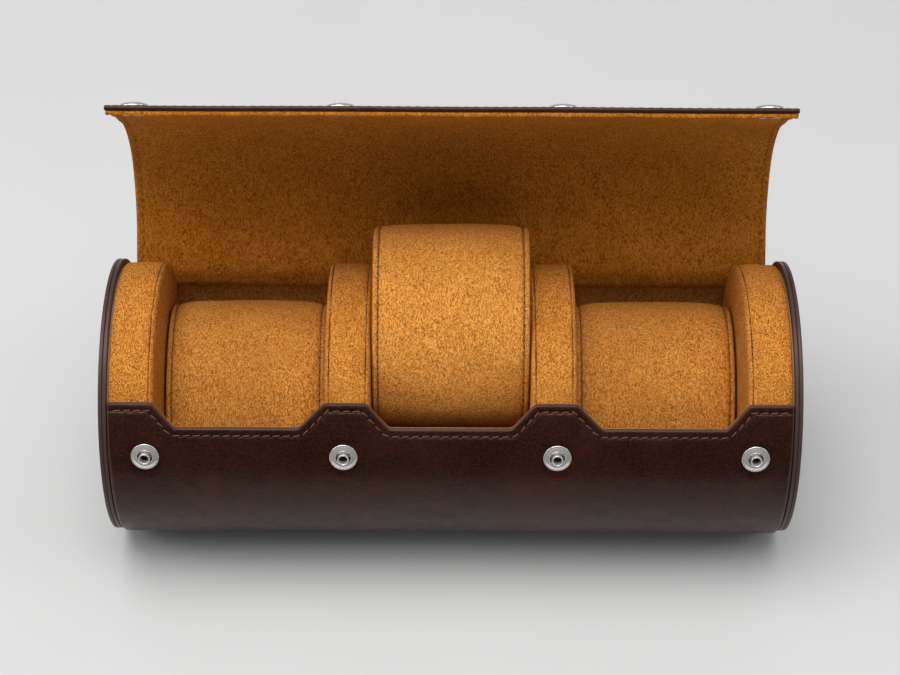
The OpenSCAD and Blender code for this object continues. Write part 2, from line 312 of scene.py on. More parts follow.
def thread(name, a, b, rough=0.55):
    m = Mat(name)
    c = m.coords(True)
    ply = m.n("ShaderNodeTexWave", wave_type="BANDS", bands_direction="DIAGONAL")
    ply.inputs["Scale"].default_value = 9.0
    ply.inputs["Distortion"].default_value = 1.0
    m.link(c, ply.inputs["Vector"])
    n = m.noise(c, 8.0, 2.0)
    col = m.mix(m.maprange(ply.outputs["Fac"], 0.2, 0.8, 0.0, 1.0), a, b)
    col = m.mix(m.maprange(n, 0.3, 0.7, 0.0, 0.4), col, tuple(0.6 * v for v in a))
    m.link(col, m.b.inputs["Base Color"])
    m.link(m.bump(ply.outputs["Fac"], 0.4, 0.0001), m.b.inputs["Normal"])
    m.b.inputs["Roughness"].default_value = rough
    m.b.inputs["Specular IOR Level"].default_value = 0.3
    return m.m


def board_mat(name):
    m = Mat(name)
    c = m.coords(False)
    n = m.noise(c, 3.0, 5.0, 0.7)
    m.link(m.mix(n, (0.20, 0.13, 0.075), (0.30, 0.22, 0.13)), m.b.inputs["Base Color"])
    m.link(m.bump(m.noise(c, 20.0, 3.0), 0.2, 0.0002), m.b.inputs["Normal"])
    m.b.inputs["Roughness"].default_value = 0.9
    return m.m


def foam_mat(name):
    m = Mat(name)
    c = m.coords(False)
    n = m.noise(c, 8.0, 4.0, 0.7)
    m.link(m.mix(n, (0.62, 0.58, 0.44), (0.74, 0.70, 0.58)), m.b.inputs["Base Color"])
    m.link(m.bump(m.noise(c, 30.0, 2.0), 0.4, 0.0004), m.b.inputs["Normal"])
    m.b.inputs["Roughness"].default_value = 1.0
    return m.m


LEA = ((0.0118, 0.0034, 0.0020), (0.0205, 0.0056, 0.0032), (0.0340, 0.0092, 0.0050))
M_WRAP = leather("wrap_leather", *LEA, 0.36)
M_CAP = leather("cap_leather", (0.016, 0.006, 0.0042), (0.024, 0.0086, 0.006), (0.034, 0.0118, 0.0078), 0.38)
M_FLAP = leather("flap_leather", *LEA, 0.36)
# One suede in copies of different brightness: the cushion copy is set lighter than the pad copy, as painted light.
LIGHT, MID, DARK = (0.98, 0.396, 0.074), (0.745, 0.258, 0.036), (0.24, 0.060, 0.004)
M_CUSH = suede("cushion_suede", LIGHT, MID, DARK)
M_PAD = suede("pad_suede", (0.83, 0.320, 0.053), (0.59, 0.197, 0.023), (0.19, 0.046, 0.003))
M_LIN = suede("lining_suede", (0.72, 0.28, 0.055), (0.52, 0.180, 0.026), (0.19, 0.052, 0.005))
# The flap copy is set darker: painted shade of the flap's inside, which faces forward and down, partly also a darker
# suede.
M_FSU = suede("flap_suede", (0.59, 0.204, 0.021), (0.40, 0.122, 0.0080), (0.155, 0.037, 0.0020), size=1.2, clump=0.24)
# The stud copy of the nickel is lighter and partly diffuse so the studs show brighter: painted light.
M_NIK = nickel("nickel", 0.20, (0.84, 0.82, 0.80), 0.72)
M_NIK3 = nickel("nickel_caps", 0.22, (0.74, 0.725, 0.70), 0.95)
# darker nickel for the stud's groove floor: painted shade
M_NIK2 = nickel("nickel_painted_shade", 0.24, (0.55, 0.54, 0.52))
# near-black discs at the bottoms of the stud posts and sockets: painted shade
M_DARK = nickel("bore_painted_shade", 0.5, (0.03, 0.03, 0.03))
M_THB = thread("thread_brown", (0.085, 0.026, 0.016), (0.170, 0.056, 0.034))
M_THT = thread("thread_tan", (0.26, 0.10, 0.028), (0.36, 0.155, 0.05), 0.8)
M_THD = thread("thread_dark_tan", (0.115, 0.040, 0.010), (0.20, 0.075, 0.02), 0.85)
M_THF = thread("thread_flap", (0.20, 0.068, 0.013), (0.30, 0.11, 0.025), 0.9)
# dark blobs at needle holes: painted shade inside each hole
M_HOLE = thread("needle_hole_painted_shade", (0.004, 0.0024, 0.002), (0.006, 0.004, 0.003), 0.9)
M_SHOLE = thread("suede_hole_painted_shade", (0.045, 0.014, 0.003), (0.07, 0.022, 0.004), 0.95)
M_BOARD = board_mat("board")
M_FOAM = foam_mat("foam")


# ---------------------------------------------------------------- mesh tools
def build(name, V, F, mats, body, rest=None, edge=None, fmat=None, sharp=50, blend=None, recalc=True):
    """V in mm from the roll's axis (X, Y, Z). rest is the texture coordinate, in mm."""
    V = np.asarray(V, float)
    P = V.copy()
    P[:, 2] += AX
    me = bpy.data.meshes.new(name)
    me.from_pydata((P * 0.001).tolist(), [], F)
    me.update()
    if rest is None:
        rest = V
    at = me.attributes.new("rest_p", "FLOAT_VECTOR", "POINT")
    at.data.foreach_set("vector", (np.asarray(rest, float) * 0.1).astype(np.float32).ravel())
    ea = me.attributes.new("edge", "FLOAT", "POINT")
    ea.data.foreach_set("value", np.zeros(len(V), np.float32) if edge is None else np.asarray(edge, np.float32).ravel())
    if not isinstance(mats, (list, tuple)):
        mats = [mats]
    for m in mats:
        me.materials.append(m)
    if fmat is not None:
        me.polygons.foreach_set("material_index", np.asarray(fmat, np.int32))
    if recalc:
        bm = bmesh.new()
        bm.from_mesh(me)
        bmesh.ops.recalc_face_normals(bm, faces=bm.faces)
        bm.to_mesh(me)
        bm.free()
    me.polygons.foreach_set("use_smooth", np.ones(len(me.polygons), bool))
    me.set_sharp_from_angle(angle=math.radians(sharp))
    me.update()
    ob = bpy.data.objects.new(name, me)
    bpy.context.scene.collection.objects.link(ob)
    if blend:
        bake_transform(ob)
    else:
        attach(ob, body)
    return ob


def slab(A, B, RA, RBc, k=3, bulge=0.5, wrap=False, round_sides=(1, 1, 1, 1)):
    """Closed sheet between grids A and B (n, m, 3), with rounded borders. Sides: first row, last row, first column, last column."""
    n, m = A.shape[:2]
    V = [A.reshape(-1, 3), B.reshape(-1, 3)]
    R = [RA.reshape(-1, 3), RBc.reshape(-1, 3)]
    idx = lambda i, j: i * m + j
    F = []
    for i in range(n - 1):
        r0 = i * m
        r1 = (i + 1) * m
        for j in range(m - 1):
            F.append((r0 + j, r0 + j + 1, r1 + j + 1, r1 + j))
    off = n * m
    F += [(a + off, d + off, c + off, b + off) for a, b, c, d in F]
    loop = [(0, j, 0) for j in range(m)] + [(i, m - 1, 3) for i in range(1, n)] + [(n - 1, j, 1) for j in range(m - 2, -1, -1)] + [
        (i, 0, 2) for i in range(n - 2, 0, -1)]
    L = len(loop)
    la = np.array([idx(i, j) for i, j, _ in loop])
    inner = []
    amount = []
    for i, j, s in loop:
        on = [q for q, hit in enumerate((i == 0, i == n - 1, j == 0, j == m - 1)) if hit]
        keep = [q for q in on if round_sides[q] > 0] or on
        ii, jj = i, j
        for q in keep:
            if q == 0:
                ii = 1
            if q == 1:
                ii = n - 2
            if q == 2:
                jj = 1
            if q == 3:
                jj = m - 2
        inner.append(idx(ii, jj))
        amount.append(max(round_sides[q] for q in on))
    inner = np.array(inner)
    amount = np.array(amount, float)[:, None]
    a, b = V[0][la], V[1][la]
    out = ((a - V[0][inner]) + (b - V[1][inner]))
    out /= np.maximum(np.linalg.norm(out, axis=1), 1e-9)[:, None]
    rings = [la]
    cnt = 2 * off
    for q in range(1, k + 1):
        ph = math.pi * q / (k + 1)
        w = 0.5 + 0.5 * math.cos(ph)
        V.append(a * w + b * (1 - w) + out * bulge * math.sin(ph) * amount)
        R.append(R[0][la] * w + R[1][la] * (1 - w))
        rings.append(np.arange(cnt, cnt + L))
        cnt += L
    rings.append(la + off)
    for q in range(len(rings) - 1):
        r0, r1 = rings[q], rings[q + 1]
        for j in range(L):
            j2 = (j + 1) % L
            F.append((int(r0[j]), int(r1[j]), int(r1[j2]), int(r0[j2])))
    return np.vstack(V), F, np.vstack(R)


def lathe(profile, steps=64):
    """Solid of revolution about local Z from (r, z) points that start and end on the axis."""
    V, F = [], []
    rings = []
    for r, z in profile:
        if r < 1e-6:
            rings.append([len(V)])
            V.append((0, 0, z))
        else:
            s = len(V)
            for i in range(steps):
                t = 2 * math.pi * i / steps
                V.append((r * math.cos(t), r * math.sin(t), z))
            rings.append(list(range(s, s + steps)))
    for a, b in zip(rings, rings[1:]):
        for i in range(steps):
            i2 = (i + 1) % steps
            if len(a) == 1 and len(b) == 1:
                continue
            if len(a) == 1:
                F.append((a[0], b[i], b[i2]))
            elif len(b) == 1:
                F.append((a[i], b[0], a[i2]))
            else:
                F.append((a[i], b[i], b[i2], a[i2]))
    return np.array(V, float), F


def loft_x(rings, centre):
    """Closed solid from rings (m, 3) that follow each other along X, with a point at each end."""
    V = [centre[0][None]]
    for r in rings:
        V.append(r)
    V.append(centre[1][None])
    m = rings[0].shape[0]
    F = []
    for i in range(m):
        F.append((0, 1 + i, 1 + (i + 1) % m))
    for q in range(len(rings) - 1):
        a, b = 1 + q * m, 1 + (q + 1) * m
        for i in range(m):
            i2 = (i + 1) % m
            F.append((a + i, b + i, b + i2, a + i2))
    last = 1 + (len(rings) - 1) * m
    end = 1 + len(rings) * m
    for i in range(m):
        F.append((last + i, end, last + (i + 1) % m))
    return np.vstack(V), F


def threads(name, C, T, N, length, width, height, mat, body, blend=None, dip=0.3, tilt=0.0, M=7, K=8, flat=0.8):
    """One small arched strand of thread per centre C with direction T on a surface of normal N."""
    C, T, N = (np.asarray(q, float) for q in (C, T, N))
    T = T / np.linalg.norm(T, axis=1)[:, None]
    N = N - T * (N * T).sum(1)[:, None]
    N /= np.linalg.norm(N, axis=1)[:, None]
    B = np.cross(T, N)
    if tilt:
        c, s = math.cos(tilt), math.sin(tilt)
        T, B = T * c + B * s, B * c - T * s
    n = len(C)
    tau = np.linspace(-1, 1, M)
    V = np.zeros((n, M, K, 3))
    R = np.zeros((n, M, K, 3))
    for q, t in enumerate(tau):
        mid = C + T * (t * length / 2) + N * (height * (1 - abs(t) ** 2.5) - dip * abs(t) ** 5)
        w = width / 2 * (1 - 0.45 * abs(t) ** 4)
        for k in range(K):
            th = 2 * math.pi * k / K
            V[:, q, k] = mid + B * (w * math.cos(th)) + N * (w * flat * math.sin(th))
            R[:, q, k] = np.stack([np.arange(n) * 3.7 + t * length / 2, np.full(n, w * math.cos(th)), np.full(n, w * math.sin(th))], -1)
    F = []
    for i in range(n):
        base = i * M * K
        for q in range(M - 1):
            a, b = base + q * K, base + (q + 1) * K
            for k in range(K):
                k2 = (k + 1) % K
                F.append((a + k, a + k2, b + k2, b + k))
        F.append(tuple(base + k for k in range(K - 1, -1, -1)))
        F.append(tuple(base + (M - 1) * K + k for k in range(K)))
    return build(name, V.reshape(-1, 3), F, mat, body, rest=R.reshape(-1, 3), sharp=180, blend=blend, recalc=False)


# ---------------------------------------------------------------- the front edge
TN, TT = WR * rad(NOTCH_A), WR * rad(TAB_A)
_zx = np.array([-120, -93.3, -86.4, -47.4, -39.5, -26.4, -19.2, 19.2, 26.4, 39.5, 47.4, 86.4, 93.3, 120.0])
_zt = np.array([TT, TT, TN, TN, TT, TT, TN, TN, TT, TT, TN, TN, TT, TT])
_fx = np.arange(-112, 112.01, 0.1)
_ft = np.interp(_fx, _zx, _zt)
_ker = np.exp(-0.5 * (np.arange(-30, 31) * 0.1 / 0.55) ** 2)
_ker /= _ker.sum()
_ft = np.convolve(np.pad(_ft, 30, mode="edge"), _ker, mode="valid")


def top_t(x):
    return np.interp(x, _fx, _ft)


def edge_dist(x, t):
    """Distance from the front edge, measured square to it."""
    d = np.full(x.shape, 1e9)
    for o in np.arange(-8, 8.01, 0.2):
        xe = np.clip(x + o, -WX, WX)
        d = np.minimum(d, np.hypot(xe - x, top_t(xe) - t))
    return d


def eroded(x, d):
    """Height of a line that runs at distance d inside the front edge."""
    o = np.linspace(-d, d, 61)
    e = top_t(x[:, None] + o[None]) - np.sqrt(np.maximum(0, d * d - o * o))[None]
    return e.min(1)


def even(path, pitch, start=0.0):
    seg = np.hypot(*np.diff(path, axis=0).T)
    s = np.r_[0, np.cumsum(seg)]
    n = max(1, int(round((s[-1] - start) / pitch)))
    at = start + (np.arange(n) + 0.5) * (s[-1] - start) / n
    p = np.stack([np.interp(at, s, path[:, 0]), np.interp(at, s, path[:, 1])], -1)
    q = np.stack([np.interp(at + 0.3, s, path[:, 0]), np.interp(at + 0.3, s, path[:, 1])], -1)
    q0 = np.stack([np.interp(at - 0.3, s, path[:, 0]), np.interp(at - 0.3, s, path[:, 1])], -1)
    return p, q - q0


ST_D = 2.35
_px = np.linspace(-105.6, 105.6, 2400)
front_path = np.stack([_px, eroded(_px, ST_D)], -1)
fs_p, fs_d = even(front_path, 3.1)
fs_d /= np.linalg.norm(fs_d, axis=1)[:, None]


def wrap_r(a, R, flat):
    """Radius of the wrap at angle a, with the standing flat worn into it."""
    s = np.sin(np.radians(-a))
    f = np.where(s > 0.2, flat / np.maximum(s, 0.2), 1e3)
    k = 4.0
    m = np.minimum(R, f)
    return m - np.log1p(np.exp(-k * np.abs(R - f))) / k * (np.abs(R - f) < 3)


def unroll(x, t, r):
    """x, distance round the wrap from the front horizontal, radius."""
    a = np.degrees(t / WR)
    y, z = pol(a, r)
    return np.stack([x, y, z], -1)


# rows of the wrap, from the front edge down, under, and up the back
xs = np.linspace(-WX, WX, 429)
depth = np.array([0, .2, .4, .65, .9, 1.2, 1.5, 1.75, 2.0, 2.2, 2.4, 2.6, 2.8, 3.1, 3.5, 4.0, 4.6, 5.3, 6.0])
T_MID = 14.4
T_END = -WR * rad(192.0)
rows = [top_t(xs) - d for d in depth]
for q in range(1, 13):
    rows.append((top_t(xs) - 6.0) * (1 - q / 12) + (top_t(xs) * 0 + 14.4) * (q / 12))
low = np.arange(T_MID - 1.6, T_END, -1.8)
for t in np.r_[low, T_END]:
    rows.append(np.full(xs.shape, t))
TG = np.array(rows).T
XG = np.repeat(xs[:, None], TG.shape[1], 1)
AG = np.degrees(TG / WR)


def front_relief(x, t):
    d = edge_dist(x, t)
    near = d < 8
    out = np.zeros(x.shape)
    out += np.where(near, -0.30 * np.exp(-((d - ST_D) / 0.55) ** 2) + 0.10 * np.exp(-((d - 1.1) / 0.7) ** 2), 0)
    out += np.where(d < 0.5, -0.45 * (1 - np.minimum(d, 0.5) / 0.5) ** 2, 0)
    e = WX - np.abs(x)
    out += np.where(e < 0.8, -0.5 * (1 - np.minimum(e, 0.8) / 0.8) ** 2, 0)
    for p, dd in zip(fs_p, fs_d):
        for s in (-1.35, 1.35):
            cx, ct = p[0] + dd[0] * s, p[1] + dd[1] * s
            sel = (np.abs(x - cx) < 1.4) & (np.abs(t - ct) < 1.4)
            if sel.any():
                out[sel] -= 0.16 * np.exp(-((x[sel] - cx) ** 2 + (t[sel] - ct) ** 2) / 0.30)
    ts = WR * rad(SNAP_A)
    for sx in SNAPS:
        r = np.hypot(x - sx, t - ts)
        out -= 0.22 * np.exp(-((r - 4.7) / 0.8) ** 2) + np.where(r < 4.4, 0.30, 0)
        out += 0.10 * np.exp(-((r - 7.0) / 1.6) ** 2)
    return out


root_lift = 0.53 * smooth((-AG - 174) / 16)
r_out = wrap_r(AG, WR, AX) + root_lift
r_in = wrap_r(AG, RI, AX - LT) + root_lift
soft = (1 - smooth((-AG - 40) / 30)) + smooth((-AG - 130) / 20)
rel = front_relief(XG, TG)
wav = wave(XG, TG, 0.16) * soft
A = unroll(XG, TG, r_out + rel + wav)
Bg = unroll(XG, TG, r_in + wav * 0.5)
T_SHIFT = WR * rad(192.0) - (A_ROOT - 168.0) * math.pi / 180 * FR
RA = np.stack([XG, TG, np.zeros(XG.shape)], -1)
RBg = np.stack([XG, TG, np.full(XG.shape, LT)], -1)
V, F, R = slab(A, Bg, RA, RBg, k=3, bulge=0.35, round_sides=(1, 1, 1, 0))
dist = edge_dist(R[:, 0], R[:, 1])
# edge: where the leather is tinted lighter grey, along the front edge and the side ends; partly burnished finish,
# partly painted highlight.
edge = np.where(R[:, 1] > 0, np.clip(1 - dist / 0.35, 0, 1), 0) * 0.8 + 0.35 * np.clip(1 - (WX - np.abs(R[:, 0])) / 0.4, 0, 1)
R = np.stack([R[:, 0], -R[:, 1] - T_SHIFT, R[:, 2]], -1)
ob = build("wrap", V, F, M_WRAP, "case", rest=R, edge=np.clip(edge, 0, 1), sharp=60)
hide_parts("outer_shell", "shell_board")

# thread of the front edge, and small dark blobs at its needle holes: painted shade
fp = unroll(fs_p[:, 0], fs_p[:, 1], np.full(len(fs_p), WR - 0.13))
fn = unroll(fs_p[:, 0], fs_p[:, 1], np.full(len(fs_p), WR + 1.0)) - fp
f2 = unroll(fs_p[:, 0] + fs_d[:, 0] * 0.2, fs_p[:, 1] + fs_d[:, 1] * 0.2, np.full(len(fs_p), WR - 0.13)) - fp
ob = threads("front_thread", fp, f2, fn, 2.5, 0.5, 0.04, M_THB, "case", tilt=-0.13, dip=0.26)
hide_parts("front_stitching")
hx = np.concatenate([fs_p + fs_d * 1.52, fs_p - fs_d * 1.52])
hd = np.concatenate([fs_d, fs_d])
hp = unroll(hx[:, 0], hx[:, 1], np.full(len(hx), WR - 0.36))
hn = unroll(hx[:, 0], hx[:, 1], np.full(len(hx), WR + 1.0)) - hp
h2 = unroll(hx[:, 0] + hd[:, 0] * 0.2, hx[:, 1] + hd[:, 1] * 0.2, np.full(len(hx), WR - 0.36)) - hp
threads("front_holes", hp, h2, hn, 0.55, 0.52, 0.06, M_HOLE, "case", dip=0.0, M=5)

# suede face of the front panel, up to the edge
cols = np.linspace(-WX + 0.3, WX - 0.3, 429)
t_low = WR * rad(28.6)
fr_ = np.array([0, 0.12, 0.3, 0.55, 0.8, 1.0])
TGl = (top_t(cols)[:, None] - 0.12) * (1 - fr_[None]) + t_low * fr_[None]
XGl = np.repeat(cols[:, None], len(fr_), 1)
V, F, R = slab(unroll(XGl, TGl, np.full(XGl.shape, RI - 0.02)), unroll(XGl, TGl, np.full(XGl.shape, RI - 0.85)),
               np.stack([XGl, TGl, XGl * 0 + RI], -1), np.stack([XGl, TGl, XGl * 0 + RI - 0.8], -1), k=3, bulge=0.35,
               round_sides=(0, 0, 1, 0))
build("panel_suede", V, F, M_PAD, "case", rest=R, sharp=60)


# ---------------------------------------------------------------- ends of the roll
def ring_at(x, r, flat, n=360, y0=0.0):
    a = np.arange(n) * 360.0 / n
    rr = np.minimum(r, wrap_r(np.where(a > 180, a - 360, a), np.full(n, r), flat)) if flat else np.full(n, r)
    y, z = pol(a, rr)
    return np.stack([np.full(n, x), y, z], -1)


def end_disc(name, x0, x1, r, rough_edge, sgn, nodes, groove=None):
    """Leather disc with a slightly swollen rim, tinted lighter grey: partly burnished finish, partly painted highlight.
    """
    prof = []
    e = rough_edge
    for q in (0.0, 0.35, 0.7, 0.88, 0.95):
        prof.append((x0, r * q))
    prof += [(x0, r - e), (x0 + 0.08 * e, r - 0.45 * e), (x0 + 0.35 * e, r - 0.1 * e), (x0 + 0.8 * e, r)]
    prof += [((x0 + x1) / 2, r + 0.03)]
    prof += [(x1 - 0.8 * e, r), (x1 - 0.35 * e, r - 0.1 * e), (x1 - 0.08 * e, r - 0.45 * e), (x1, r - e)]
    face = []
    if groove:
        for d, dx in ((1.2, 0.0), (1.9, -0.02), (2.3, -0.14), (2.6, -0.2), (2.9, -0.14), (3.4, -0.02), (5, 0.03)):
            face.append((x1 + dx, r - d))
    for q in (0.84, 0.7, 0.5, 0.25):
        face.append((x1 + 0.02, r * q))
    prof += face
    rings = []
    ed = []
    for x, rr in prof[1:]:
        g = ring_at(x, rr, AX - (r - rr) if rr > 30 else None)
        g[:, 0] *= sgn
        rings.append(g)
        # the rim rows get the lighter grey edge tint: burnished finish and painted highlight
        ed.append(1.0 if rr > r - 0.5 * e and x0 < x < x1 else 0.0)
    V, F = loft_x(rings, (np.array([sgn * prof[0][0], 0, 0]), np.array([sgn * prof[-1][0], 0, 0])))
    edge = np.r_[0, np.repeat(ed, 360), 0] * 0.55
    ob = build(name, V, F, M_CAP, "case", edge=edge, sharp=50)
    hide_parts(*nodes)
    return ob


for sgn, side in ((-1, "left"), (1, "right")):
    end_disc(f"end_disc_{side}", HALF - 1.27, HALF - 0.02, C_R, 0.42, sgn, [f"end_cap_{side}"], groove=True)
    end_disc(f"end_layer_{side}", HALF - 2.6, HALF - 1.33, C_R, 0.38, sgn, [f"end_welt_{side}"])
    # thread round the outer disc
    n = 88
    a = (np.arange(n) + 0.5) * 360.0 / n
    rr = np.minimum(C_R - 2.6, wrap_r(np.where(a > 180, a - 360, a), np.full(n, C_R - 2.6), AX - 2.6))
    y, z = pol(a, rr)
    y2, z2 = pol(a + 1, np.minimum(C_R - 2.6, wrap_r(np.where(a + 1 > 180, a + 1 - 360, a + 1), np.full(n, C_R - 2.6), AX - 2.6)))
    P = np.stack([np.full(n, sgn * (HALF - 0.16)), y, z], -1)
    T = np.stack([np.zeros(n), y2 - y, z2 - z], -1)
    N = np.tile([sgn, 0.0, 0.0], (n, 1))
    threads(f"end_thread_{side}", P, T, N, 2.3, 0.5, 0.03, M_THB, "case", tilt=0.1, dip=0.25)


# ---------------------------------------------------------------- pads and dividers
def pad_radius(a, r_up, r_low):
    """Radius round a pad: the wrap's inside below, a fuller round over the mouth."""
    up = smooth((a - 26) / 8) * (1 - smooth((a - 152) / 8))
    mid = smooth((a - 140) / 8) * (1 - smooth((a - 174) / 12))
    r = r_low + np.maximum((r_up - r_low) * up, 0.55 * mid)
    front = np.exp(-((a - 36) / 9) ** 2)
    r = r - 0.3 * front
    neg = np.where(a > 180, a - 360, a)
    return np.minimum(r, wrap_r(neg, r, AX - LT - 1.4 - 0.1))


def pad_mesh(name, x0, x1, r_up, sgn, seams, nodes, body="case"):
    a = np.arange(420) * 360.0 / 420
    base = pad_radius(a, r_up, RB - 0.1)
    c = 0.95
    L = x1 - x0
    prof = [(0.0, -100), (0.0, -24), (0.0, -14), (0.0, -8), (0.0, -5), (0.04, -3.2), (0.10, -2.0), (0.22, -1.15), (0.42, -0.6), (0.72, -0.22), (1.05, -0.03)]
    rowsx = []
    for dx, dr in prof[1:]:
        rowsx.append((x0 + dx, dr))
    if seams[0]:
        rowsx += [(x0 + 1.25, -0.10), (x0 + 1.4, -0.27), (x0 + 1.5, -0.30), (x0 + 1.6, -0.27), (x0 + 1.78, -0.08), (x0 + 2.1, 0.03)]
    mid = np.linspace(x0 + 2.8, x1 - 2.8, 9)
    for x in mid:
        u = (x - (x0 + x1) / 2) / (L / 2)
        rowsx.append((x, 0.10 + 0.16 * (1 - u * u)))
    if seams[1]:
        rowsx += [(x1 - 2.1, 0.03), (x1 - 1.78, -0.08), (x1 - 1.6, -0.27), (x1 - 1.5, -0.30), (x1 - 1.4, -0.27), (x1 - 1.25, -0.10)]
    for dx, dr in reversed(prof[1:]):
        rowsx.append((x1 - dx, dr))
    rings, rest = [], []
    s = np.radians(a) * 43.0
    for i, (x, dr) in enumerate(rowsx):
        w = 0.10 * np.sin(np.radians(a) * 9 + x) + 0.08 * np.sin(np.radians(a) * 17 + x * 0.7)
        r = np.maximum(base + dr + (w if dr > -1 else 0), 0.5)
        y, z = pol(a, r)
        rings.append(np.stack([np.full(a.shape, sgn * x), y, z], -1))
    V, F = loft_x(rings, (np.array([sgn * x0, 0, 0]), np.array([sgn * x1, 0, 0])))
    ob = build(name, V, F, M_PAD, body, sharp=80)
    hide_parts(*nodes)
    # seam thread on the rim
    k = 0
    for flag, x in ((seams[0], x0 + 1.5), (seams[1], x1 - 1.5)):
        if not flag:
            continue
        k += 1
        n = int(round(2 * math.pi * 43 / 2.35))
        aa = (np.arange(n) + 0.5) * 360.0 / n
        aa = aa[(aa > 12) & (aa < 176)]
        r = pad_radius(aa, r_up, RB - 0.1) - 0.2
        y, z = pol(aa, r)
        y2, z2 = pol(aa + 0.5, r)
        P = np.stack([np.full(aa.shape, sgn * x), y, z], -1)
        T = np.stack([aa * 0, y2 - y, z2 - z], -1)
        N = np.stack([aa * 0, y, z], -1)
        threads(f"{name}_thread_{k}", P, T, N, 1.75, 0.42, 0.03, M_THD, body, dip=0.2, M=5, K=6)
        # dark blobs at the seam's needle holes: painted shade
        P2 = P + T / np.linalg.norm(T, axis=1)[:, None] * 1.17 - N / np.linalg.norm(N, axis=1)[:, None] * 0.08
        threads(f"{name}_holes_{k}", P2, T, N, 0.6, 0.5, 0.05, M_SHOLE, body, dip=0.0, M=3, K=6)
    return ob


for sgn, side in ((-1, "left"), (1, "right")):
    pad_mesh(f"end_pad_{side}", PAD, HALF - 2.62, 43.1, sgn, (1, 0), [f"end_pad_cover_{side}", f"end_pad_core_{side}"])
    pad_mesh(f"divider_{side}", DIV[0], DIV[1], 42.95, sgn, (1, 1), [f"divider_cover_{side}", f"divider_core_{side}"])


# ---------------------------------------------------------------- the three bays
def bay_profile():
    """Angle and inner radius round a bay, from the hinge lip round to the front edge."""
    pts = [(167.6, 43.34), (168.6, 43.31), (169.8, 43.26), (171.0, 43.20), (172.2, 43.12), (173.4, 43.03), (174.8, 42.92), (176.4, 42.78), (178, 42.62), (180, 42.42), (182, 42.20), (184, 41.94), (186, 41.64), (188.5, 41.15), (190.2, 40.2), (191.6, 38.9), (193.5, 37.9), (196, 37.55)]
    pts += [(a, 37.5) for a in range(200, 342, 3)]
    pts += [(344, 37.55), (346.5, 37.9), (348.4, 38.9), (349.8, 40.2), (351.5, 41.2), (354, 41.5)]
    pts += [(a, 41.5) for a in range(358, 388, 3)]
    pts += [(388.4, 41.5), (389.4, 41.6), (390.0, 41.95), (390.2, 42.5), (390.15, 43.2), (390.0, 43.6)]
    return pts


def bay(name, x0, x1, nodes):
    pts = bay_profile()
    y, z = pol(np.array([p[0] for p in pts]), np.array([p[1] for p in pts]))
    path = np.stack([y, z], -1)
    tan = np.gradient(path, axis=0)
    tan /= np.linalg.norm(tan, axis=1)[:, None]
    nrm = np.stack([tan[:, 1], -tan[:, 0]], -1)
    if (nrm[10] @ path[10]) < 0:
        nrm = -nrm
    outer = path + nrm * 0.75
    s = np.r_[0, np.cumsum(np.hypot(*np.diff(path, axis=0).T))]
    xx = np.linspace(x0, x1, 60)
    n, m = len(xx), len(path)
    A = np.zeros((n, m, 3)); B = np.zeros((n, m, 3)); RA = np.zeros((n, m, 3)); RBb = np.zeros((n, m, 3))
    for i, x in enumerate(xx):
        w = 0.12 * np.sin(s / 7.0 + x / 6.0) + 0.10 * np.sin(s / 3.1 - x / 9.0)
        p = path - nrm * w[:, None] * (np.array([q[1] for q in pts]) < 40)[:, None]
        A[i] = np.c_[np.full(m, x), p]
        B[i] = np.c_[np.full(m, x), outer]
        RA[i] = np.c_[np.full(m, x), s, np.zeros(m)]
        RBb[i] = RA[i] + [0, 0, 0.8]
    V, F, R = slab(A, B, RA, RBb, k=2, bulge=0.2, round_sides=(0, 0, 0, 1))
    ob = build(name, V, F, M_LIN, "case", rest=R, sharp=70)
    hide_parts(*nodes)
    return ob


bay("bay_left", -PAD - 0.4, -DIV[1] + 0.4, ["trough_lining_left", "trough_padding_left"])
bay("bay_middle", -DIV[0] - 0.4, DIV[0] + 0.4, ["trough_lining_middle", "trough_padding_middle"])
bay("bay_right", DIV[1] - 0.4, PAD + 0.4, ["trough_lining_right", "trough_padding_right"])

# ---------------------------------------------------------------- the flap
S = [168.0, 138.4, 99.0, 66.0, 38.0, FA[5]]
E = [150.0, 99.0, 66.0, 38.0, 22.5]
BODY = ["case", "flap_1", "flap_2", "flap_3", "flap_4", "flap_5"]


def flap_ends(k):
    a = opened(*flap_closed(S[k], 0.0), k - 1)
    b = opened(*flap_closed(E[k], 0.0), k)
    return np.array(a), np.array(b)


def flap_bent(k, a, rho):
    """Rest place of a point of the flap in sheet piece k: the closed circle bent by the blend's own weights."""
    s, e = flap_ends(k)
    d = e - s
    yc, zc = flap_closed(a, rho)
    w = smooth((S[k] - a) / (S[k] - E[k]))
    for _ in range(60):
        y, z = rot2(yc, zc, HC[k], -FB[k] * w)
        y, z = opened(y, z, k - 1)
        t = ((y - s[0]) * d[0] + (z - s[1]) * d[1]) / (d @ d)
        w = 0.5 * w + 0.5 * smooth(t)
    return y, z


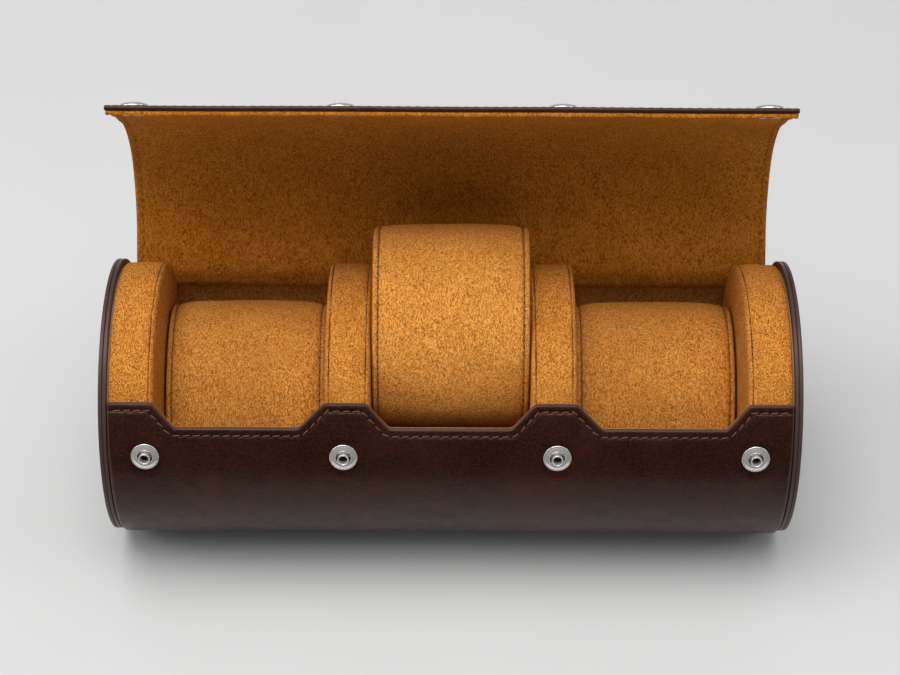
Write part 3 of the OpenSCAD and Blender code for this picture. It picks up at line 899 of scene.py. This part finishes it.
def ease_table():
    """How far the rest curve is eased between its creases, and by what angle, along the flap."""
    aa, yy, zz = [], [], []
    for k in range(5):
        a = np.linspace(S[k], S[k + 1], 60)[0 if k == 0 else 1:]
        y, z = flap_bent(k, a, 0.0)
        aa.append(a)
        yy.append(y)
        zz.append(z)
    aa, yy, zz = np.concatenate(aa), np.concatenate(yy), np.concatenate(zz)
    s = (S[0] - aa) * math.pi / 180 * FR
    g = np.linspace(0, s[-1], 480)
    h = g[1] - g[0]
    out = []
    for v in (yy, zz):
        u = np.interp(g, s, v)
        ext = 60
        lo = 2 * u[0] - u[ext:0:-1]
        hi = 2 * u[-1] - u[-2:-ext - 2:-1]
        w = np.exp(-0.5 * (np.arange(-ext, ext + 1) * h / 5.5) ** 2)
        out.append((u, np.convolve(np.r_[lo, u, hi], w / w.sum(), mode="valid")))
    ag = S[0] - g / (math.pi / 180 * FR)
    amount = 0.75 * smooth((142 - ag) / 30) + smooth((168 - ag) / 6) * smooth((ag - 137) / 12)
    dy, dz = ((e - u) * amount for u, e in out)
    y0, z0 = out[0][0], out[1][0]
    t0 = np.arctan2(np.gradient(z0), np.gradient(y0))
    t1 = np.arctan2(np.gradient(z0 + dz), np.gradient(y0 + dy))
    turn = np.degrees((t1 - t0 + math.pi) % (2 * math.pi) - math.pi)
    return g, dy, dz, turn


EASE = ease_table()


def ease(a):
    s = (S[0] - np.asarray(a, float)) * math.pi / 180 * FR
    return [np.interp(s, EASE[0], q) for q in EASE[1:]]


def flap_rest(k, a, rho):
    y, z = flap_bent(k, a, rho)
    dy, dz, turn = ease(a)
    cy, cz = flap_bent(k, a, 0.0)
    t = np.radians(turn)
    ry, rz = y - cy, z - cz
    return cy + ry * np.cos(t) - rz * np.sin(t) + dy, cz + ry * np.sin(t) + rz * np.cos(t) + dz


def flap_arc(k, step=0.85):
    n = max(6, int(round((S[k] - S[k + 1]) * math.pi / 180 * FR / step)))
    return np.linspace(S[k], S[k + 1], n + 1)


def tip_flare(a):
    """The free edge eases off the circle by a hair."""
    s = np.clip((16.0 - a), 0, None) * math.pi / 180 * FR
    return 0.12 * (s / 5.0) ** 2


def arc_len(a):
    return (A_ROOT - a) * math.pi / 180 * FR


def flap_piece(k, kind):
    a = flap_arc(k)
    if kind == "leather":
        hi, lo, inset = LT, 0.02, 0.0
    else:
        hi, lo, inset = 0.0, -ST, 0.25
    if k == 4 and kind == "suede":
        a = a.copy()
        a[-1] += 0.25
    nx = 172
    near = np.concatenate([[-1, -0.9975, -0.994, -0.990, -0.986], np.linspace(-0.98, 0.98, nx), [0.986, 0.990, 0.994, 0.9975, 1]])
    U, Ag = np.meshgrid(near, a, indexing="ij")
    X = U * (half_w(Ag) - inset)
    s_edge = half_w(Ag) - np.abs(X)
    groove = -0.16 * np.exp(-((s_edge - 2.0) / 0.5) ** 2) + 0.06 * np.exp(-((s_edge - 0.9) / 0.6) ** 2)
    tipd = (Ag - FA[5]) * math.pi / 180 * FR
    groove += -0.16 * np.exp(-((tipd - 2.0) / 0.5) ** 2) * (s_edge > 1.5)
    al = arc_len(Ag)
    w = wave(X * 0.8, al * 1.2, 0.28) * smooth(al / 20)
    flare = tip_flare(Ag)
    hiR = hi + (groove + w * 0.5 if kind == "leather" else w * 0.5) + flare
    loR = lo + (w * 0.5 if kind == "leather" else w * 0.5 - groove) + flare
    if kind == "suede":
        loR = loR - 0.55 * np.exp(-(np.clip(tipd, 0, None) / 1.3) ** 2) * (0.75 + 0.25 * np.sin(X / 3.1) * np.sin(X / 7.7 + 1))
    if k == 4:
        # the rivet pulls the two layers together over the stud's post
        for sx in SNAPS:
            r = np.hypot(X - sx, (Ag - SNAP_A) * math.pi / 180 * FR)
            pocket = np.exp(-(r / 3.3) ** 6)
            if kind == "leather":
                hiR = hiR + 0.05 * np.exp(-(r / 5.2) ** 4)
                loR = loR + 0.75 * pocket
            else:
                hiR = hiR + 0.60 * pocket
                loR = loR + 1.42 * pocket
    y, z = flap_rest(k, Ag, hiR)
    A = np.stack([X, y, z], -1)
    y, z = flap_rest(k, Ag, loR)
    B = np.stack([X, y, z], -1)
    RA = np.stack([X, al, np.zeros(X.shape)], -1)
    RBb = RA + [0, 0, hi - lo]
    V, F, R = slab(A, B, RA, RBb, k=3, bulge=0.42 if kind == "leather" else 0.3, round_sides=(1, 1, 0, 1 if k == 4 else 0))
    st, en = flap_ends(k)
    P = lambda q: (0.0, q[0] * 0.001, (q[1] + AX) * 0.001)
    # edge tint along the flap's sides and free edge, lighter grey: partly burnished finish, partly painted highlight;
    # kept faint at the free edge
    e = np.clip(1 - (half_w(A_ROOT - R[:, 1] / (math.pi / 180 * FR)) - np.abs(R[:, 0])) / 0.3, 0, 1)
    if k == 4:
        e = np.maximum(e, np.clip(1 - (arc_len(FA[5]) - R[:, 1]) / 0.3, 0, 1))
    e = e * (0.15 if k == 4 else 0.5)
    ob = build(f"flap_{kind}_sheet_{k + 1}", V, F, M_FLAP if kind == "leather" else M_FSU, None,
               rest=R, edge=e * 0.7, sharp=60,
               blend=(BODY[k], BODY[k + 1], P(st), P(en)))
    node = f"flap_{'leather' if kind == 'leather' else 'lining'}_{k + 1}"
    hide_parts(node)
    return ob


for k in range(5):
    flap_piece(k, "leather")
    flap_piece(k, "suede")


def flap_stitches(k, inner=True):
    lo_a = S[k + 1] if k < 4 else FA[5] + 3.6
    n = int(round((S[k] - lo_a) * math.pi / 180 * FR / 2.9))
    aa = S[k] - (np.arange(n) + 0.5) * (S[k] - lo_a) / n
    rho = -ST + 0.10 if inner else LT - 0.10
    Ps, Ts, Ns = [], [], []
    for m in (-1, 1):
        x = m * (half_w(aa) - 2.0)
        al = arc_len(aa)
        wv = wave(x * 0.8, al * 1.2, 0.28) * smooth(al / 20) * 0.5
        fl = tip_flare(aa)
        y, z = flap_rest(k, aa, rho + wv + fl)
        y2, z2 = flap_rest(k, aa - 0.3, rho + wv + tip_flare(aa - 0.3))
        y3, z3 = flap_rest(k, aa, rho + wv + fl + (-1 if inner else 1))
        Ps.append(np.stack([x, y, z], -1))
        Ts.append(np.stack([x * 0, y2 - y, z2 - z], -1))
        Ns.append(np.stack([x * 0, y3 - y, z3 - z], -1))
    if k == 4:
        a0 = FA[5] + 2.5
        n = 70
        x = (np.arange(n) - (n - 1) / 2) * 2.9
        aa = np.full(n, a0)
        al = arc_len(aa)
        wv = wave(x * 0.8, al * 1.2, 0.28) * 0.5
        fl = tip_flare(aa)
        y, z = flap_rest(k, aa, rho + wv + fl)
        y3, z3 = flap_rest(k, aa, rho + wv + fl + (-1 if inner else 1))
        Ps.append(np.stack([x, y, z], -1))
        Ts.append(np.tile([1.0, 0, 0], (n, 1)))
        Ns.append(np.stack([x * 0, y3 - y, z3 - z], -1))
    st, en = flap_ends(k)
    P = lambda q: (0.0, q[0] * 0.001, (q[1] + AX) * 0.001)
    ob = threads(f"flap_thread_{'in' if inner else 'out'}_{k + 1}", np.vstack(Ps), np.vstack(Ts), np.vstack(Ns), 2.1, 0.46, 0.03,
                 M_THF if inner else M_THB, None, dip=0.2, M=5, K=6,
                 blend=(BODY[k], BODY[k + 1], P(st), P(en)))
    if inner:
        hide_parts(f"flap_stitches_{k + 1}")


for k in range(5):
    flap_stitches(k, True)
    flap_stitches(k, False)


# ---------------------------------------------------------------- snaps
def on_radial(V, x, a):
    """Local x, y, z of a snap (z away from the roll's axis) to the frame at angle a."""
    t = rad(a)
    er = np.array([0, -math.cos(t), math.sin(t)])
    et = np.array([0, math.sin(t), math.cos(t)])
    return np.array([x, 0, 0]) + V[:, :1] * np.array([1.0, 0, 0]) + V[:, 1:2] * et + V[:, 2:] * er


def to_open(V):
    y, z = opened(V[:, 1], V[:, 2], 4)
    c = opened(*flap_closed(SNAP_A, 0.0), 4)
    dy, dz, turn = ease(SNAP_A)
    y, z = rot2(y, z, c, float(turn))
    return np.stack([V[:, 0], y + dy, z + dz], -1)


def join(parts):
    V, F, Mi, o = [], [], [], 0
    for v, f, mi in parts:
        V.append(v)
        F += [tuple(i + o for i in q) for q in f]
        Mi += [mi] * len(f)
        o += len(v)
    return np.vstack(V), F, Mi


stud_ring = [(0, 45.1), (3.4, 45.1), (4.2, 45.12), (4.36, 45.2), (4.40, 45.32), (4.36, 45.46), (4.22, 45.56), (4.08, 45.58), (3.96, 45.56),
             (3.88, 45.60), (3.6, 45.72), (3.3, 45.83), (3.0, 45.92), (2.75, 45.97), (2.58, 45.97), (2.50, 45.93), (2.46, 45.84), (2.44, 45.70),
             (2.36, 45.58), (2.2, 45.55), (0, 45.55)]
stud_post = [(0, 45.4), (1.60, 45.4), (1.58, 46.2), (1.56, 46.6), (1.64, 46.9), (1.82, 47.1), (1.88, 47.25), (1.86, 47.38), (1.78, 47.46),
             (1.66, 47.49), (1.54, 47.46), (1.45, 47.36), (1.38, 47.1), (1.30, 46.7), (1.24, 46.2), (1.20, 45.75), (1.18, 45.5), (0, 45.48)]


def ring_floor(n=64):
    """The floor of the groove between a stud's ring and its post, in darker nickel: painted shade."""
    prof = [(1.52, 45.56), (2.40, 45.56), (2.42, 45.64), (2.0, 45.60), (1.54, 45.64)]
    V = [(r * math.cos(2 * math.pi * i / n), r * math.sin(2 * math.pi * i / n), z) for r, z in prof for i in range(n)]
    m = len(prof)
    F = [(q * n + i, ((q + 1) % m) * n + i, ((q + 1) % m) * n + (i + 1) % n, q * n + (i + 1) % n) for q in range(m) for i in range(n)]
    return np.array(V), F


parts = []
for sx in SNAPS:
    v, f = lathe(stud_ring, 72)
    parts.append((on_radial(v, sx, SNAP_A), f, 0))
    v, f = lathe(stud_post, 48)
    fm = [0] * len(f)
    parts.append((on_radial(v, sx, SNAP_A), f, 0))
    # near-black disc at the bottom of the post's bore: painted shade
    v, f = lathe([(0, 45.5), (1.17, 45.5), (1.17, 45.62), (0.9, 45.66), (0, 45.66)], 32)
    parts.append((on_radial(v, sx, SNAP_A), f, 2))
    v, f = ring_floor()
    parts.append((on_radial(v, sx, SNAP_A), f, 1))
V, F, Mi = join(parts)
ob = build("studs", V, F, [M_NIK, M_NIK2, M_DARK], "case", fmat=Mi, sharp=40)
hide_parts("snap_studs")

cap_prof = [(0, 49.2), (3.9, 49.2), (4.2, 49.25), (4.32, 49.4), (4.3, 49.6), (4.1, 49.8), (3.7, 49.98), (3.1, 50.17), (2.4, 50.33), (1.6, 50.45),
            (0.8, 50.52), (0, 50.54)]
parts = []
for sx in SNAPS:
    v, f = lathe(cap_prof, 72)
    parts.append((to_open(on_radial(v, sx, SNAP_A)), f, 0))
V, F, Mi = join(parts)
ob = build("caps", V, F, [M_NIK3], "flap_5", fmat=Mi, sharp=40)
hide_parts("snap_caps")

sock_prof = [(2.6, 46.6), (2.62, 46.42), (2.75, 46.34), (2.95, 46.32), (3.15, 46.4), (3.3, 46.55), (3.6, 46.6), (3.95, 46.62), (4.15, 46.7),
             (4.2, 46.85), (4.2, 47.6), (2.6, 47.6)]
parts = []
for sx in SNAPS:
    n = len(sock_prof)
    V, F = [], []
    steps = 72
    for r, z in sock_prof:
        for i in range(steps):
            t = 2 * math.pi * i / steps
            V.append((r * math.cos(t), r * math.sin(t), z))
    for q in range(n):
        q2 = (q + 1) % n
        for i in range(steps):
            i2 = (i + 1) % steps
            F.append((q * steps + i, q2 * steps + i, q2 * steps + i2, q * steps + i2))
    parts.append((to_open(on_radial(np.array(V), sx, SNAP_A)), F, 0))
    # near-black disc closing the socket's hole: painted shade
    v, f = lathe([(0, 47.9), (2.62, 47.9), (2.62, 48.0), (0, 48.0)], 48)
    parts.append((to_open(on_radial(v, sx, SNAP_A)), f, 2))
V, F, Mi = join(parts)
ob = build("sockets", V, F, [M_NIK3, M_NIK2, M_DARK], "flap_5", fmat=Mi, sharp=40)
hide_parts("snap_sockets")


# ---------------------------------------------------------------- cushions
def oval(g, n):
    """Four-arc oval outline, inset by g, as n points evenly spread in angle."""
    th = np.linspace(0, 2 * math.pi, n, endpoint=False)
    out = np.zeros((n, 2))
    for i, t in enumerate(th):
        c, s = math.cos(t), math.sin(t)
        best = 0
        # end arcs
        for sx in (-12.0, 12.0):
            b = -sx * c
            q = b * b - (144 - (21 - g) ** 2)
            if q >= 0:
                r = -b + math.sqrt(q)
                if abs(r * c) >= 24.6 - 0.6 * g - 1e-6 or abs(r * c) >= 24.6 - 0.6 * g:
                    best = max(best, r)
        if best == 0:
            sy = -16.0 if s >= 0 else 16.0
            b = -sy * s
            q = b * b - (256 - (41 - g) ** 2)
            best = -b + math.sqrt(q)
        out[i] = (best * c, best * s)
    return out


def simulate_cushion(length):
    """A stuffed suede tube: an undersized tube is blown up with cloth, and its radius read off."""
    n = 40
    o = oval(2.4, n)
    hl = length / 2 - 2.0
    V = []
    for x in (-hl, hl):
        for p in o:
            V.append((x * 0.001, p[0] * 0.001, p[1] * 0.001))
    V += [(-hl * 0.001, 0, 0), (hl * 0.001, 0, 0)]
    F = []
    for i in range(n):
        j = (i + 1) % n
        F.append((i, j, n + j, n + i))
        F.append((i, 2 * n, j))
        F.append((n + i, n + j, 2 * n + 1))
    me = bpy.data.meshes.new("sim")
    me.from_pydata(V, [], F)
    me.update()
    ob = bpy.data.objects.new("sim", me)
    bpy.context.scene.collection.objects.link(ob)
    bpy.context.view_layer.objects.active = ob
    rm = ob.modifiers.new("remesh", "REMESH")
    rm.mode = "VOXEL"
    rm.voxel_size = 0.004
    dg = bpy.context.evaluated_depsgraph_get()
    me2 = bpy.data.meshes.new_from_object(ob.evaluated_get(dg))
    ob.modifiers.clear()
    ob.data = me2
    rest = np.array([v.co for v in me2.vertices])
    cl = ob.modifiers.new("cloth", "CLOTH")
    s = cl.settings
    s.quality = 6
    s.mass = 0.25
    s.use_pressure = True
    s.uniform_pressure_force = 4.0
    s.tension_stiffness = 20
    s.compression_stiffness = 20
    s.shear_stiffness = 8
    s.bending_stiffness = 2
    s.effector_weights.gravity = 0
    cl.collision_settings.use_collision = False
    cl.point_cache.frame_start = 1
    cl.point_cache.frame_end = 20
    sc = bpy.context.scene
    for f in range(1, 21):
        sc.frame_set(f)
    dg = bpy.context.evaluated_depsgraph_get()
    ev = ob.evaluated_get(dg)
    me3 = ev.to_mesh()
    now = np.array([v.co for v in me3.vertices])
    faces = [tuple(p.vertices) for p in me3.polygons]
    ev.to_mesh_clear()
    mv = now - rest
    ln = np.linalg.norm(mv, axis=1)
    capd = 0.005
    mv *= (np.minimum(ln, capd) / np.maximum(ln, 1e-9))[:, None]
    now = rest + mv
    ob.modifiers.clear()
    sc.frame_set(1)
    tree = BVHTree.FromPolygons([Vector(p) for p in now], faces)
    bpy.data.objects.remove(ob)
    return tree


def cushion(name, xc, length, rise, body, nodes, tree):
    n = 300
    th = np.linspace(0, 2 * math.pi, n, endpoint=False)
    ov = oval(0.0, n)
    base_r = np.hypot(ov[:, 0], ov[:, 1])
    ths = np.arctan2(ov[:, 1], ov[:, 0])
    hl = length / 2

    def sim_r(x):
        out = np.zeros(n)
        xx = x / hl * (length / 2 - 1.0)
        for i in range(n):
            d = Vector((0, math.cos(ths[i]), math.sin(ths[i])))
            h = tree.ray_cast(Vector((xx * 0.001, 0, 0)) + d * 0.2, -d)
            out[i] = (0.2 - h[3]) * 1000 if h[0] is not None else np.nan
        if np.isnan(out).any():
            ok = ~np.isnan(out)
            out = np.interp(th, th[ok], out[ok], period=2 * math.pi) if ok.any() else base_r.copy()
        k = 9
        return np.convolve(np.r_[out[-k:], out, out[:k]], np.ones(2 * k + 1) / (2 * k + 1), mode="valid")

    mid = sim_r(0.0)
    swell = {}
    for x in np.linspace(0, 0.9, 6):
        a = sim_r(x * hl)
        b = sim_r(-x * hl)
        swell[x] = (a + b) / 2 / mid
    keys = np.array(sorted(swell))
    vals = np.array([swell[q] for q in keys])
    edge_x = hl
    rowsx = [(-edge_x, -1.6), (-edge_x + 0.1, -0.9), (-edge_x + 0.35, -0.38), (-edge_x + 0.75, -0.10), (-edge_x + 1.15, -0.06),
             (-edge_x + 1.5, -0.22), (-edge_x + 1.75, -0.52), (-edge_x + 1.9, -0.62), (-edge_x + 2.05, -0.52), (-edge_x + 2.3, -0.24),
             (-edge_x + 2.8, -0.06), (-edge_x + 3.5, 0.02), (-edge_x + 4.6, 0.04)]
    inner = np.linspace(-edge_x + 6.2, edge_x - 6.2, 27)
    rows_all = rowsx + [(x, 0.05) for x in inner] + [(-x, d) for x, d in reversed(rowsx)]
    rings, rest = [], []
    s = np.r_[0, np.cumsum(np.hypot(*np.diff(np.vstack([ov, ov[:1]]), axis=0).T))][:-1]
    for q in (0.28, 0.5, 0.72, 0.86, 0.95):
        rings.append(np.stack([np.full(n, -edge_x - 0.10 * (1 - q) + 0.25), ov[:, 0] * q, ov[:, 1] * q], -1))
    for x, d in rows_all:
        u = min(abs(x) / hl, 0.9)
        g = np.array([np.interp(u, keys, vals[:, i]) for i in range(n)])
        g = 1 + (g - 1) * 0.14
        crown = 0.35 - 0.85 * abs(x / hl) ** 2.4 + 0.07 * np.sin(th * 5 + x / 9.0) * (1 - (x / hl) ** 2)
        g = np.minimum(g, 1.004)
        r = base_r * g + d + crown - 0.25
        rings.append(np.stack([np.full(n, x), r * np.cos(ths), r * np.sin(ths)], -1))
    for q in (0.95, 0.86, 0.72, 0.5, 0.28):
        rings.append(np.stack([np.full(n, edge_x + 0.10 * (1 - q) - 0.25), ov[:, 0] * q, ov[:, 1] * q], -1))
    V, F = loft_x(rings, (np.array([-edge_x + 0.1, 0, 0]), np.array([edge_x - 0.1, 0, 0])))

    def place(V):
        t = rad(90 - LEAN)
        y = SEAT[0] + V[:, 1] * math.cos(t) - V[:, 2] * math.sin(t)
        z = SEAT[1] + rise + V[:, 1] * math.sin(t) + V[:, 2] * math.cos(t)
        return np.stack([V[:, 0] + xc, y, z], -1)

    rest = V.copy() + [xc * 1.7, 0, 0]
    ob = build(name, place(V), F, M_CUSH, body, rest=rest, sharp=80)
    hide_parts(*nodes)
    # seam thread near both ends
    per = s[-1] + np.hypot(*(ov[0] - ov[-1]))
    cnt = int(round(per / 2.45))
    at = (np.arange(cnt) + 0.5) * per / cnt
    so = np.r_[s, per]
    oy = np.interp(at, so, np.r_[ov[:, 0], ov[0, 0]])
    oz = np.interp(at, so, np.r_[ov[:, 1], ov[0, 1]])
    oy2 = np.interp(at + 0.4, so, np.r_[ov[:, 0], ov[0, 0]])
    oz2 = np.interp(at + 0.4, so, np.r_[ov[:, 1], ov[0, 1]])
    rr = np.hypot(oy, oz)
    f = (rr - 1.03) / rr
    Ps, Ts, Ns = [], [], []
    for m in (-1, 1):
        P = np.stack([np.full(cnt, m * (hl - 1.9)), oy * f, oz * f], -1)
        P2 = np.stack([np.full(cnt, m * (hl - 1.9)), oy2 * f, oz2 * f], -1)
        T = P2 - P
        N = np.cross(T, np.tile([1.0, 0, 0], (cnt, 1)))
        N *= np.sign((N * P)[:, 1:].sum(1))[:, None]
        A, Bp, Cp = place(P), place(P + T), place(P + N)
        Ps.append(A)
        Ts.append(Bp - A)
        Ns.append(Cp - A)
    P, T, N = np.vstack(Ps), np.vstack(Ts), np.vstack(Ns)
    threads(f"{name}_thread", P, T, N, 1.7, 0.42, 0.04, M_THT, body, dip=0.2, M=5, K=6)
    T1 = T / np.linalg.norm(T, axis=1)[:, None]
    N1 = N / np.linalg.norm(N, axis=1)[:, None]
    # dark blobs at the seam's needle holes: painted shade
    threads(f"{name}_holes", P + T1 * 1.22 - N1 * 0.04, T, N, 0.65, 0.5, 0.05, M_SHOLE, body, dip=0.0, M=3, K=6)
    return ob


tree = simulate_cushion(50.0)
for side, xc, ln, rise in (("left", -SIDE_XC, SIDE_LEN, 0.0), ("middle", 0.0, MID_LEN, RISE), ("right", SIDE_XC, SIDE_LEN, 0.0)):
    cushion(f"cushion_{side}_suede", xc, ln, rise, f"cushion_{side}",
            [f"cushion_wrap_{side}", f"cushion_core_{side}", f"cushion_ends_{side}"], tree)

# ---------------------------------------------------------------- hidden CAD nodes keep their shape
for nm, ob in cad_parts.items():
    mat = None
    if "board" in nm:
        mat = M_BOARD
    elif nm == "stud_rivets":
        mat = nickel("rivet_steel", 0.3, (0.5, 0.49, 0.47))
    else:
        mat = M_FOAM
    ob.data.materials.clear()
    ob.data.materials.append(mat)

# ---------------------------------------------------------------- floor, light, camera
me = bpy.data.meshes.new("floor")
q = 8.0
me.from_pydata([(-q, -q, 0), (q, -q, 0), (q, q, 0), (-q, q, 0)], [], [(0, 1, 2, 3)])
floor = bpy.data.objects.new("floor", me)
bpy.context.scene.collection.objects.link(floor)
fm = Mat("floor_pale")
fc = fm.coords(False)
fm.link(fm.mix(fm.maprange(fm.noise(fc, 0.06, 3.0), 0.3, 0.7, 0, 1), (0.468, 0.470, 0.476), (0.490, 0.492, 0.498)), fm.b.inputs["Base Color"])
fm.b.inputs["Roughness"].default_value = 0.55
me.materials.append(fm.m)

world = bpy.data.worlds.new("studio")
bpy.context.scene.world = world
world.use_nodes = True
wt = world.node_tree
bg = wt.nodes["Background"]
tc = wt.nodes.new("ShaderNodeTexCoord")
sp = wt.nodes.new("ShaderNodeSeparateXYZ")
wt.links.new(tc.outputs["Generated"], sp.inputs[0])


def wmath(op, a, b=0.0):
    n = wt.nodes.new("ShaderNodeMath")
    n.operation = op
    for i, v in ((0, a), (1, b)):
        if isinstance(v, (int, float)):
            n.inputs[i].default_value = v
        else:
            wt.links.new(v, n.inputs[i])
    return n.outputs[0]


def wrange(v, a0, a1, b0, b1):
    n = wt.nodes.new("ShaderNodeMapRange")
    n.interpolation_type = "SMOOTHSTEP"
    for i, x in ((1, a0), (2, a1), (3, b0), (4, b1)):
        n.inputs[i].default_value = x
    wt.links.new(v, n.inputs[0])
    return n.outputs[0]


# a bright ceiling over a dim room; the dimmest part is in front of the object
up = wrange(sp.outputs["Z"], 0.50, 0.95, 0.0, 1.0)
back = wrange(sp.outputs["Y"], -0.75, 0.6, 0.025, 0.30)
side = wrange(wmath("ABSOLUTE", sp.outputs["X"]), 0.45, 0.95, 0.0, 0.16)
level = wmath("ADD", wmath("ADD", wmath("MULTIPLY", up, 0.75), side), back)
wt.links.new(level, bg.inputs[1])
bg.inputs[0].default_value = (0.97, 0.985, 1.0, 1)


def area(name, loc, target, size, power, color=(1, 1, 1), size_y=None):
    d = bpy.data.lights.new(name, "AREA")
    d.energy = power
    d.color = color
    d.size = size
    if size_y:
        d.shape = "RECTANGLE"
        d.size_y = size_y
    o = bpy.data.objects.new(name, d)
    bpy.context.scene.collection.objects.link(o)
    o.location = loc
    o.rotation_euler = (Vector(target) - Vector(loc)).to_track_quat("-Z", "Y").to_euler()
    return o


area("ceiling", (-0.28, -0.30, 2.1), (0, 0, 0.05), 2.0, 43.0, (1.0, 0.985, 0.955), 1.4)
area("left", (-1.3, -0.25, 0.85), (0, 0, 0.08), 0.8, 7.0, (1.0, 0.98, 0.95), 0.6)
area("right", (1.4, -0.25, 0.9), (0, 0, 0.08), 0.8, 4.6, (1.0, 0.98, 0.95), 0.6)

fill = area("fill", (0.0, -1.1, 0.45), (0, 0, 0.04), 1.2, 2.2, (1.0, 0.99, 0.97), 0.5)
fill.visible_glossy = False

# a black flag in front, as a studio uses, that only shows in reflections
me = bpy.data.meshes.new("flag")
me.from_pydata([(-1.2, -0.130, 0.0), (1.2, -0.130, 0.0), (1.2, -0.130, 0.40), (-1.2, -0.130, 0.40)], [], [(0, 1, 2, 3)])
flag = bpy.data.objects.new("flag", me)
bpy.context.scene.collection.objects.link(flag)
gm = Mat("flag_black")
gm.b.inputs["Base Color"].default_value = (0.01, 0.009, 0.009, 1)
gm.b.inputs["Roughness"].default_value = 1.0
gm.b.inputs["Specular IOR Level"].default_value = 0.0
me.materials.append(gm.m)
flag.visible_camera = False
flag.visible_diffuse = False
flag.visible_shadow = False
flag.visible_transmission = False

sc = bpy.context.scene
sc.view_settings.view_transform = "Standard"
sc.view_settings.look = "None"
sc.view_settings.exposure = 0.0
sc.view_settings.gamma = 1.0

EA = 43.62
cd = bpy.data.cameras.new("camera")
cam = bpy.data.objects.new("camera", cd)
sc.collection.objects.link(cam)
cd.sensor_width = 36.0
cd.lens = 89.18
cd.shift_x = -0.001
cd.clip_start = 0.01
cam.matrix_world = Matrix.Translation((0.0, -0.52184, 0.56617)) @ Matrix.Rotation(rad(90 - EA), 4, "X") @ Matrix.Rotation(rad(0.25), 4, "Z")
sc.camera = cam
